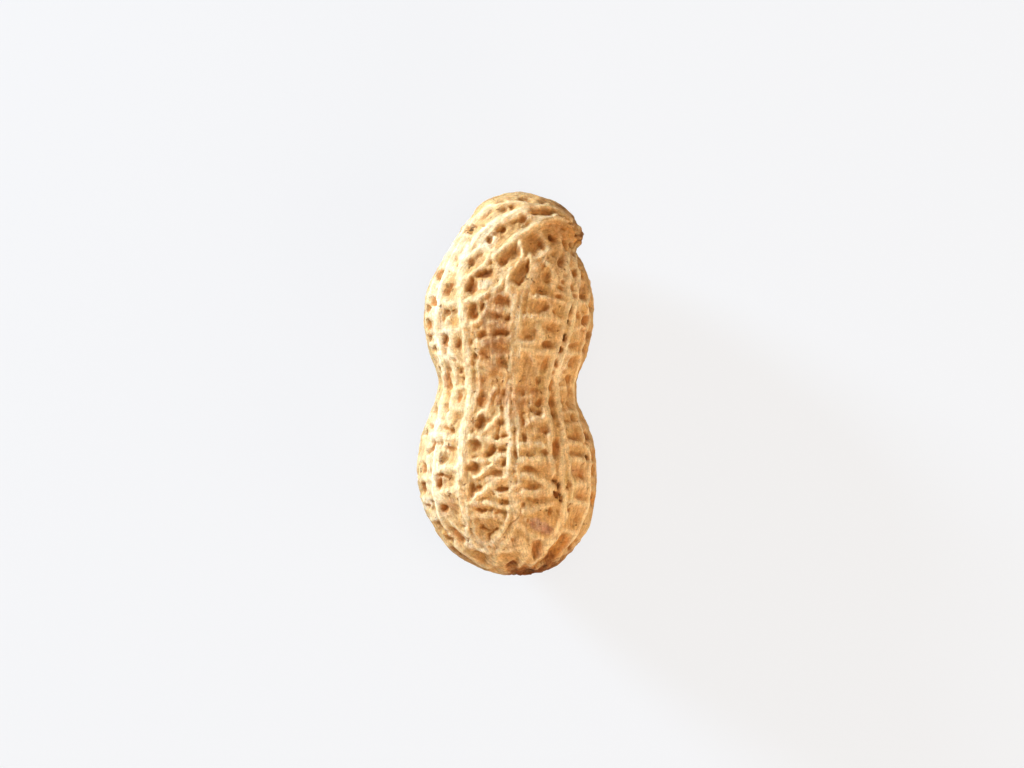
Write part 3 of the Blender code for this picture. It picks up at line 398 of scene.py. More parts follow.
    (504, 503, 4.5, 2.6, 22, 0.80), (506.3, 503.5, 2.0, 2.2, 0, 0.60),
    (481, 511, 5.4, 2.2, 4, 0.90), (490.5, 510.3, 3, 1.4, 0, 0.50),
    (501.5, 512.3, 5, 2.0, 4, 0.70), (504.8, 516, 1.8, 3.0, 0, 0.75),
    (427, 506.5, 2.0, 1.9, 0, 0.55), (432.5, 506.5, 1.7, 5.6, -12, 0.60),
    (453, 512.5, 8.0, 9.5, -22, 0.40), (444.6, 509, 2.0, 4.4, -8, 1.05),
    (453.5, 512.3, 5.4, 1.1, 24, 0.85), (437.7, 524, 1.7, 1.7, 0, 0.70),
    (441, 529.2, 1.7, 2.8, -30, 0.75), (448.6, 537.6, 1.7, 8.6, -35, 1.15),
    (457.6, 536.2, 3.1, 9.2, -38, 0.62), (462.6, 541.6, 2.6, 3.2, -35, 0.70),
    (464, 526.8, 1.8, 1.9, 0, 0.65), (449, 522, 1.4, 3.5, -30, 0.30),
    (478, 520.3, 1.8, 1.7, 0, 0.50), (489.5, 528.5, 9.5, 6.2, 0, 0.38),
    (483.6, 530.2, 4.0, 1.7, 28, 1.15), (496, 530.6, 3.0, 1.5, -38, 0.85),
    (482.2, 526, 1.9, 2.4, 0, 0.60),
    (490, 532.4, 4.2, 1.2, 4, 0.75), (492.5, 535.3, 1.9, 1.2, -20, 0.85),
    (489, 536.8, 1.9, 1.3, 0, 0.85), (490, 539.5, 1.6, 1.6, 0, 0.50),
    (492.5, 543.2, 2.1, 0.9, 0, 0.60), (490, 548.3, 1.9, 1.4, 0, 0.75),
    (483.7, 548, 1.8, 1.1, 10, 0.45), (495.7, 549.7, 1.0, 1.4, 0, 0.45),
    (470, 539.5, 1.3, 1.6, -30, 0.55), (471.5, 535, 0.8, 2.6, -30, 0.40),
    (480.5, 558.5, 8.0, 4.0, 40, 0.42), (475, 554.2, 3.4, 1.3, 20, 0.60),
    (483, 560.5, 2.6, 1.6, 30, 0.40), (455.5, 551.5, 7.0, 1.0, 38, 0.80),
    (469, 561, 7.5, 1.2, 34, 0.70),
    # right of the middle, beaked lobe
    (525.5, 295, 2.2, 4.2, 0, 0.40), (534, 293.5, 1.3, 1.5, 0, 0.35),
    (542.5, 290.5, 6.4, 3.6, 22, 0.60), (544, 292, 2.6, 2.1, 25, 0.80),
    (560, 288, 3.6, 1.9, 22, 0.75), (559, 296.8, 3.0, 2.0, 10, 0.90),
    (539.5, 307, 9.2, 6.4, 0, 0.50), (545.0, 308, 2.2, 3.6, 20, 0.85), (541, 311, 4.4, 1.4, -8, 0.55), (559, 311.5, 6.0, 4.6, 35, 0.50),
    (554.3, 312, 3.4, 1.6, 18, 0.80), (561, 316, 1.8, 1.4, 0, 0.40),
    (525.5, 306.8, 2.0, 1.7, 0, 0.40), (524.5, 312, 1.4, 2.6, -20, 0.40),
    (523, 317.5, 1.3, 2.0, -20, 0.40), (519.3, 297, 0.9, 1.7, 0, 0.40),
    (529.5, 332.5, 6.2, 7.0, 25, 0.60), (529, 336.3, 3.6, 2.2, -10, 0.70),
    (534.5, 330.5, 2.4, 2.0, 0, 0.50), (552, 327.5, 7.2, 4.2, -25, 0.55),
    (550.3, 330, 2.2, 1.8, 0, 0.80), (555, 326, 2.0, 2.4, 0, 0.55),
    (544.5, 326.5, 2.2, 2.0, 0, 0.40), (547, 345, 5.6, 3.6, 0, 0.95),
    (539, 341.5, 2.4, 1.6, 20, 0.35), (544.5, 365.5, 2.6, 10.2, 13, 0.75),
    (543, 369.5, 1.6, 4.0, 10, 0.45), (539, 380, 2.4, 4.0, 20, 0.90),
    (524.3, 361, 1.6, 9.0, 2, 0.45), (527.5, 355, 2.0, 3.0, -30, 0.35),
    (535.5, 359, 1.7, 1.7, 0, 0.35), (523.3, 378, 3.4, 3.0, 30, 0.36),
    (532, 375.3, 1.7, 1.2, 0, 0.40), (533, 389.2, 3.8, 2.4, -5, 0.46),
    (537.5, 390.5, 1.4, 2.4, 0, 0.50), (523.5, 393.5, 2.2, 3.0, -10, 0.50),
    (528.5, 394, 1.3, 1.3, 0, 0.35), (565.5, 337.5, 1.8, 4.6, 20, 1.00),
    (560.5, 350, 1.7, 4.2, 22, 1.00), (556.3, 363.5, 1.6, 5.4, 24, 0.75),
    (553.3, 373.7, 1.8, 2.5, 20, 0.60), (552, 382.3, 1.4, 2.6, 0, 0.65),
    (550.7, 387.5, 1.7, 3.0, 5, 0.75), (568.6, 321.7, 1.3, 2.0, 20, 0.90),
    (570.6, 312.5, 1.4, 7.5, 14, 0.55), (572, 288, 1.2, 4.0, -8, 0.60),
    (574.5, 296, 1.4, 1.9, -20, 0.60), (568, 304, 0.9, 2.5, 0, 0.35),
    (583.2, 290.5, 4.4, 7.6, 8, 0.60), (583.5, 295.5, 2.6, 2.4, 0, 0.80),
    (590, 306, 1.6, 6.0, 2, 0.60), (579, 315.5, 2.0, 3.6, -15, 0.65),
    (584, 311, 1.8, 1.6, 0, 0.50), (585.8, 319, 2.2, 5.2, 14, 0.90),
    (585, 322.3, 1.6, 1.8, 0, 0.50), (583, 328.5, 2.6, 2.0, 0, 0.50),
    (576, 326.5, 1.8, 1.5, 0, 0.30), (589, 335, 2.4, 4.4, 8, 0.90),
    (585.3, 348.2, 2.2, 4.6, 18, 0.90), (574, 345.7, 6.4, 2.4, -14, 0.60),
    (576.5, 346, 2.2, 1.9, 0, 0.45), (573, 361.5, 3.4, 6.2, 25, 0.65),
    (571.5, 366.2, 3.6, 1.6, 0, 0.70), (564.5, 371.5, 1.8, 2.6, 20, 0.45),
    (581, 368.5, 1.2, 4.2, 30, 0.60), (569.3, 379.5, 2.1, 4.5, 8, 0.85),
    (569.3, 390, 1.9, 8.0, 0, 0.50), (559, 384.7, 1.4, 1.4, 0, 0.45),
    # waist and stem lobe, right
    (538.6, 402.5, 2.4, 3.6, 12, 0.90), (538.7, 412.8, 3.2, 3.4, 10, 0.95),
    (533.5, 410.5, 3.6, 1.5, 35, 0.50), (525.5, 411.3, 3.0, 1.7, 5, 0.60),
    (522, 415.5, 1.5, 3.2, 10, 0.55), (523, 421.5, 1.9, 3.6, 0, 0.80),
    (527.6, 422.5, 1.2, 1.7, 0, 0.50), (552, 401.5, 2.5, 6.2, -5, 0.80),
    (552.4, 399.5, 1.2, 1.3, 0, 0.40), (553.5, 414.5, 2.1, 5.6, -14, 0.95),
    (557.8, 424.5, 1.4, 1.4, 0, 0.50), (560.5, 430.5, 1.2, 1.6, -30, 0.50),
    (562.5, 401.5, 2.4, 2.0, 0, 0.40), (569.5, 404, 2.0, 3.2, -20, 0.60),
    (571, 407.5, 1.9, 1.7, 0, 0.50), (573.3, 417, 1.9, 3.4, -12, 0.70),
    (567.3, 420.3, 2.8, 1.9, 10, 0.60), (582, 418.8, 1.7, 2.6, -25, 0.60),
    (545.5, 428.5, 5.0, 6.2, -10, 0.55), (546.7, 433.2, 2.6, 2.1, 0, 0.95),
    (541, 436.5, 2.6, 1.4, 20, 0.40), (524.3, 437.3, 2.0, 4.8, -28, 0.85),
    (576.5, 431, 1.3, 5.0, 0, 0.50), (575, 437, 5.4, 2.4, 12, 0.75),
    (579, 434.7, 1.6, 1.6, 0, 0.60), (587.8, 436.2, 2.6, 4.4, -25, 0.90),
    (585.8, 444, 1.2, 2.6, 5, 0.60), (556.3, 448, 2.8, 9.4, 3, 0.85),
    (556, 450, 1.4, 6.0, 0, 0.45), (555, 458, 1.7, 1.7, 0, 0.60),
    (529.5, 454, 5.4, 3.6, 8, 0.45), (532, 454.8, 1.7, 1.9, 0, 0.50),
    (545.5, 453, 4.0, 2.3, 28, 0.90), (575.5, 452.8, 6.8, 2.8, 5, 0.60),
    (581, 452.7, 1.9, 2.2, 0, 0.65), (587.3, 458, 1.1, 2.6, -5, 1.00),
    (592.8, 455.5, 1.9, 6.2, -10, 0.60), (593.5, 458.5, 1.4, 1.7, 0, 0.40),
    (529.8, 469.2, 7.6, 2.8, 16, 0.85), (538, 472, 3.0, 1.2, 5, 0.35),
    (516.3, 454.3, 1.5, 4.6, -12, 0.85), (516, 440, 1.5, 12.0, 0, 0.45),
    (515.3, 424, 1.3, 10.0, 0, 0.35), (512.7, 471.5, 1.7, 1.6, 0, 0.55),
    (515.3, 481, 1.2, 4.5, -12, 0.45), (553.5, 463, 1.7, 1.4, 0, 0.30),
    (579, 472.5, 7.6, 8.6, 0, 0.55), (582, 476.6, 2.8, 2.2, -20, 0.75),
    (573, 469, 1.4, 4.5, 0, 0.40), (583.5, 467.5, 1.2, 3.6, 0, 0.40),
    (594.2, 470.5, 2.0, 6.2, -3, 0.75), (594.3, 484.5, 1.3, 4.0, 5, 0.40),
    (523.5, 480.3, 1.5, 1.5, 0, 0.40), (534, 486, 7.8, 3.1, 2, 0.70),
    (529.7, 487.6, 3.4, 1.3, -5, 0.70), (540.5, 485.5, 1.8, 2.4, 0, 0.40),
    (555.3, 481.5, 2.2, 1.6, 0, 0.85), (556, 477, 2.4, 4.0, 20, 0.40),
    (559.3, 485.5, 1.3, 1.9, 0, 1.00), (560.3, 491, 1.0, 4.2, -14, 0.70),
    (554.8, 492.8, 1.5, 1.5, 0, 1.00), (556.8, 496, 3.0, 3.2, 10, 0.85),
    (561, 496.5, 1.0, 3.4, -8, 0.90), (561.5, 501, 1.4, 1.2, 0, 1.00),
    (568.8, 486, 1.7, 4.0, 14, 0.75), (570, 503.5, 2.6, 1.0, 20, 0.60),
    (568, 505.5, 1.0, 2.2, 35, 0.55), (568.4, 510.5, 1.4, 2.0, 10, 0.95),
    (519.7, 489.5, 1.2, 3.2, 5, 0.35), (520.5, 500, 0.9, 2.5, 0, 0.40),
    (580, 493.7, 6.6, 6.0, 0, 0.55), (581, 497, 3.4, 2.0, 0, 0.60),
    (585.7, 498, 1.6, 5.2, -5, 0.40), (593.7, 500, 1.9, 6.4, 0, 0.85),
    (529.5, 499.5, 4.4, 2.4, 8, 0.60), (536.3, 500.7, 3.2, 1.8, -10, 0.75),
    (543.5, 498.7, 4.4, 1.7, 10, 0.50), (523, 505.5, 2.0, 2.2, -20, 0.65),
    (532.5, 506, 2.6, 1.4, 5, 0.45), (551.2, 512.5, 1.9, 3.6, 5, 1.00),
    (546, 511.5, 2.6, 1.3, 10, 0.35), (556.9, 512, 1.3, 3.6, -10, 0.65),
    (578.5, 513.5, 3.2, 8.0, -10, 0.35), (575, 519, 7.4, 8.6, 12, 0.45),
    (577.5, 521, 1.9, 3.6, 12, 0.65), (573, 526, 2.8, 1.8, 10, 0.60),
    (528, 521.5, 1.5, 2.4, 10, 0.75), (531.5, 524.5, 3.0, 2.6, 20, 0.65),
    (541, 526.5, 1.6, 3.6, -15, 0.45), (544.5, 529.5, 6.6, 6.0, 25, 0.40),
    (549.2, 528.5, 1.6, 2.8, 0, 0.90), (545, 530.3, 2.4, 1.4, 0, 0.60),
    (542.7, 533.2, 2.2, 1.5, 20, 0.65), (563.5, 541.5, 4.0, 8.0, 30, 0.75),
    (567.5, 539.5, 1.6, 4.0, 15, 0.45), (552.5, 555.5, 3.4, 10.5, 40, 0.95),
    (538.2, 546.5, 6.4, 6.6, 10, 0.62), (535.6, 554.5, 3.4, 5.4, 6, 0.70),
    (534.4, 558, 1.4, 2.6, 10, 0.95), (535.3, 552, 1.2, 1.4, 0, 0.60),
    (543.5, 562.3, 2.6, 1.2, -35, 0.62), (540.0, 565.0, 3.4, 1.0, -15, 0.60),
    (545.5, 566.5, 4.4, 1.2, -25, 0.52), (571, 547.5, 1.6, 5.0, 38, 0.80),
    (576, 541, 1.6, 3.0, 30, 0.70), (563, 556.5, 1.5, 4.6, 48, 0.60),
    (507.5, 557, 7.6, 4.4, 10, 0.40), (502, 556.5, 2.0, 2.6, 0, 0.35),
    (511.5, 566.8, 4.8, 3.0, -22, 0.95), (515.5, 562.5, 4.0, 2.4, -15, 0.50),
    (514.5, 570.5, 2.2, 1.2, 10, 0.60),
    (512.8, 540.3, 1.4, 1.5, 0, 0.65), (512.8, 544.5, 1.0, 1.2, 0, 0.40),
    (518, 544.5, 1.4, 1.3, 0, 0.40), (526.5, 538.5, 1.2, 2.4, 0, 0.50),
    (521.5, 540, 1.2, 1.8, 0, 0.35), (493.5, 567, 3.0, 1.5, 25, 0.35),
    (523.5, 565.5, 2.6, 1.4, -20, 0.55), (527, 572.0, 12.0, 2.0, -3, 0.42),
)

# thin cracks: depth (0 to 1), points
CRACKS = (
    (0.9, ((498.5, 541.5), (502, 536.5), (506, 531), (509.5, 526), (513, 522),
           (517, 519.5), (520, 515), (521, 509))),
    (0.4, ((478, 545.5), (484, 548.5), (490, 548.5), (496, 544.5), (499, 540.5))),
    (0.4, ((470.5, 527), (471.5, 534), (475, 539))),
    (0.5, ((517, 446), (516.3, 452), (517.3, 458), (514.5, 466), (511.5, 472),
           (515.5, 477), (516.2, 485))),
    (0.35, ((521, 492), (520.5, 501), (521.3, 510))),
    (0.40, ((519.8, 298), (519.6, 308), (519.2, 320), (518, 334), (516.8, 348), (517.2, 362), (516, 378))),
    (0.30, ((514.8, 312), (514.2, 326), (514.6, 340))),
    (0.3, ((512.5, 388), (511.5, 397), (512.8, 405), (512.3, 412))),
    (0.3, ((546.5, 375), (549, 384), (548.2, 394))),
    (0.35, ((563.3, 517), (562, 525), (559.5, 532))),
    (0.3, ((431.2, 466), (430.6, 476), (430.2, 487))),
    (0.3, ((463.4, 478), (463, 484), (463.4, 490))),
    (0.3, ((468.3, 503), (469.6, 511), (472, 519))),
    (0.3, ((545, 201.5), (553, 204), (561, 208), (568, 214), (575, 222))),
    (0.3, ((560, 214), (565, 218.5), (571, 223))),
)


def curve(stations, column, at):
    """Smooth curve through one column of the stations."""
    rows = sorted(stations)
    xs = np.array([r[0] for r in rows])
    ys = np.array([r[column] for r in rows])
    slope = np.gradient(ys, xs)
    at = np.clip(at, xs[0], xs[-1])
    k = np.clip(np.searchsorted(xs, at) - 1, 0, len(xs) - 2)
    h = xs[k + 1] - xs[k]
    t = (at - xs[k]) / h
    return (ys[k] * (2 * t**3 - 3 * t**2 + 1) + slope[k] * h * (t**3 - 2 * t**2 + t)
            + ys[k + 1] * (3 * t**2 - 2 * t**3) + slope[k + 1] * h * (t**3 - t**2))


def circle(y_mm):
    """Half-width of a circle as long as the pod, as a share of its radius."""
    return np.sqrt(np.maximum(1.0 - (y_mm * MM / HALF_LENGTH) ** 2, 1e-9))


PLAN = [(y, (a + b) / 2, (b - a) / 2 / circle(y)) for y, a, b in OUTLINE]
SIDE = [(y, mid, half / circle(y)) for y, mid, half in PROFILE]


def smooth(a, b, x):
    t = np.clip((x - a) / (b - a), 0.0, 1.0)
    return t * t * (3 - 2 * t)


def unit(v):
    return v / np.linalg.norm(v, axis=-1, keepdims=True)


def body(d):
    """Pod surface without its net, for unit directions d. Metres."""
    yy = d[:, 1] * HALF_LENGTH / MM
    flat = np.hypot(d[:, 0], d[:, 2]) + 1e-12
    c, s = np.abs(d[:, 0] / flat), np.abs(d[:, 2] / flat)
    k = np.maximum(c**SIDE_POWER + s**SIDE_POWER, 1e-6) ** (-1.0 / SIDE_POWER)
    x = curve(PLAN, 1, yy) + curve(PLAN, 2, yy) * d[:, 0] * k
    z = curve(SIDE, 1, yy) + curve(SIDE, 2, yy) * d[:, 2] * k
    return np.stack([x, yy, z], axis=1) * MM


def body_normal(d):
    """Outward normals of body()."""
    a = unit(np.cross(d, np.array([0.13, 0.21, 0.97])))
    b = np.cross(d, a)
    e = 2e-3
    n = np.cross(body(unit(d + a * e)) - body(unit(d - a * e)),
                 body(unit(d + b * e)) - body(unit(d - b * e)))
    return unit(n)


def on_top(points):
    """Grid points as places on the upper side of the pod. Metres."""
    g = np.array(points, dtype=float)
    x = (g[:, 0] - GRID_MIDDLE[0]) * GRID_STEP
    y = (GRID_MIDDLE[1] - g[:, 1]) * GRID_STEP
    mid_z = PROFILE[4][1] * MM
    px, py = x.copy(), y.copy()
    for _ in range(3):
        yy = np.clip(py / MM, -17.9, 17.9)
        u = (px / MM - curve(PLAN, 1, yy)) / (curve(PLAN, 2, yy) * circle(yy))
        rise = (1 - np.minimum(np.abs(u), 0.999) ** SIDE_POWER) ** (1 / SIDE_POWER)
        z = (curve(SIDE, 1, yy) + curve(SIDE, 2, yy) * circle(yy) * rise) * MM
        near = (EYE_HEIGHT - z) / (EYE_HEIGHT - mid_z)
        px, py = x * near, y * near
    return np.stack([px, py, z], axis=1)


def lean(d):
    """Turn directions so that the long ridges meet at the beak and at the scar."""
    lat = np.degrees(np.arcsin(np.clip(d[:, 1], -1, 1)))
    turn = np.radians(BEAK_LEAN * smooth(8, 90, lat) - SCAR_LEAN * smooth(-30, -90, lat))
    c, s = np.cos(turn), np.sin(turn)
    return np.stack([d[:, 0] * c + d[:, 1] * s, d[:, 1] * c - d[:, 0] * s, d[:, 2]], axis=1)


def towards(lat, lon):
    """Directions at a latitude from the waist and an angle round from the top."""
    lat, lon = np.radians(lat), np.radians(lon)
    return lean(np.stack([np.cos(lat) * np.sin(lon), np.sin(lat) + 0 * lon,
                          np.cos(lat) * np.cos(lon)], axis=1))


def under_net():
    """Ridges and hollows of the lower side, which follow the upper side's rhythm."""
    rng = np.random.RandomState(11)
    lat = np.linspace(-86, 87, 60)
    tracks = []
    for k, lon in enumerate(UNDER_RIDGES):
        wave = np.zeros_like(lat)
        if 0 < k < len(UNDER_RIDGES) - 1:
            for power in (1.6, 2.7, 4.3):
                wave += (2.4 / power) * np.sin(np.radians(lat) * power * 1.9 + rng.rand() * 6.3)
        tracks.append(lon + wave)
    lines, hollows = [], []
    for k, lon in enumerate(tracks):
        if 0 < k < len(tracks) - 1:
            lines.append((rng.uniform(2.9, 4.2) * GRID_STEP, rng.uniform(0.85, 1.1),
                          body(towards(lat, lon))))
            if rng.rand() < 0.55:
                side = lon + rng.choice([-1, 1]) * (5.5 + 1.5 * np.sin(np.radians(lat) * 3))
                cut = slice(int(rng.randint(6, 16)), int(rng.randint(40, 54)))
                lines.append((2.2 * GRID_STEP, 0.75, body(towards(lat[cut], side[cut]))))
    for k in range(len(tracks) - 1):
        mid = (tracks[k] + tracks[k + 1]) / 2
        run = body(towards(lat, mid))
        far = np.concatenate([[0], np.cumsum(np.linalg.norm(np.diff(run, axis=0), axis=1))])
        stop = rng.uniform(1.4, 2.6) * MM
        stops = [stop]
        while stop < far[-1] - 2.2 * MM:
            stop += rng.choice([1.5, 1.9, 2.3, 2.7, 3.3]) * MM * rng.uniform(0.9, 1.1)
            stops.append(stop)
        for j, stop in enumerate(stops):
            at = np.interp(stop, far, lat)
            a = np.interp(at, lat, tracks[k])
            b = np.interp(at, lat, tracks[k + 1])
            slant = rng.uniform(-1.0, 1.0)
            share = np.linspace(0, 1, 6)
            bow = rng.uniform(-1.2, 1.2) * np.sin(share * np.pi)
            edge = 0.55 if k in (0, len(tracks) - 2) else 1.0
            lines.append((rng.uniform(2.1, 3.0) * GRID_STEP, edge * rng.uniform(0.62, 0.95),
                          body(towards(at + slant * (share - 0.5) * 3 + bow,
                                       a * (1 - share) + b * share))))
            if j + 1 < len(stops):
                gap = stops[j + 1] - stop
                half = np.interp(stop + gap / 2, far, lat)
                a = np.interp(half, lat, tracks[k])
                b = np.interp(half, lat, tracks[k + 1])
                push = rng.uniform(0.42, 0.58)
                ends = body(towards(np.array([half - 1, half + 1, half, half, half]),
                                    np.array([(a + b) / 2, (a + b) / 2, a, b,
                                              a * (1 - push) + b * push])))
                along = unit(ends[1] - ends[0])
                across = ends[3] - ends[2]
                wide = np.linalg.norm(across)
                hollows.append((ends[4], along, across / wide, gap * rng.uniform(0.27, 0.36),
                                wide * rng.uniform(0.24, 0.33), edge * rng.uniform(0.35, 0.8)))
                if rng.rand() < 0.75:
                    spot = (ends[4] + along * gap * rng.uniform(-0.2, 0.2)
                            + across * rng.uniform(-0.2, 0.2))
                    hollows.append((spot, along, across / wide, gap * rng.uniform(0.1, 0.2),
                                    wide * rng.uniform(0.09, 0.16), rng.uniform(0.5, 1.0)))
    # short ridges that run down to the stem scar, with a hollow between each pair
    low = np.linspace(-85, -71, 8)
    for k, lon in enumerate(END_RIDGES):
        bent = lon + 5 * np.sin(low / 7.0 + k)
        lines.append((rng.uniform(2.2, 3.0) * GRID_STEP, rng.uniform(0.32, 0.55),
                      body(towards(low, bent))))
        if k:
            mid = (lon + END_RIDGES[k - 1]) / 2
            for at in (-72.5 + rng.uniform(-1.5, 1.5), -79.5 + rng.uniform(-1.5, 1.5)):
                spot = body(towards(np.array([at, at - 1, at + 1, at, at]),
                                    np.array([mid, mid, mid, mid - 11, mid + 11])))
                across = spot[4] - spot[3]
                wide = np.linalg.norm(across)
                hollows.append((spot[0], unit(spot[2] - spot[1]), across / wide,
                                rng.uniform(0.5, 0.8) * MM, wide * rng.uniform(0.30, 0.40),
                                rng.uniform(0.4, 0.7)))
            share = np.linspace(0, 1, 5)
            lines.append((2.2 * GRID_STEP, 0.34,
                          body(towards(-76 + rng.uniform(-1, 1) + 2 * share,
                                       END_RIDGES[k - 1] * (1 - share) + lon * share))))
    return lines, hollows


def distance(p, line):
    """Distance from each point to a line of straight steps."""
    best = np.full(len(p), 1.0)
    for a, b in zip(line[:-1], line[1:]):
        step = b - a
        t = np.clip(((p - a) @ step) / max(step @ step, 1e-18), 0, 1)
        best = np.minimum(best, np.linalg.norm(p - a - t[:, None] * step, axis=1))
    return best


def ridge_height(p, lines, widest=0.0):
    """Height of the ridges at each point, from 0 to about 1.3."""
    total = np.zeros(len(p))
    for half, high, line in lines:
        half = max(half, widest)
        low, top = line.min(axis=0) - 3 * half, line.max(axis=0) + 3 * half
        near = np.nonzero(((p > low) & (p < top)).all(axis=1))[0]
        if len(near):
            d = distance(p[near], line)
            total[near] += (high * np.exp(-(d / half) ** 2.4)) ** 4
    return total**0.25


def lump(p, at, reach):
    q = (p - np.array(at) * MM) / (np.array(reach) * MM)
    return np.exp(-(q**2).sum(axis=1))


def ends(p):
    """Beak, the notch under it, the bump across from it and the stem scar."""
    p = p + np.array([0.9, -0.1, 0.0]) * (BEAK_SIZE * MM * lump(p, BEAK_AT, BEAK_REACH))[:, None]
    p = p - np.array([0.9, 0.2, 0.0]) * (NOTCH_SIZE * MM * lump(p, NOTCH_AT, NOTCH_REACH))[:, None]
    p = p + np.array([-0.8, 0.3, 0.0]) * (BUMP_SIZE * MM * lump(p, BUMP_AT, BUMP_REACH))[:, None]
    p = p + np.array([-0.2, 0.9, -0.2]) * (SCAR_SIZE * MM * lump(p, SCAR_AT, SCAR_REACH))[:, None]
    return p
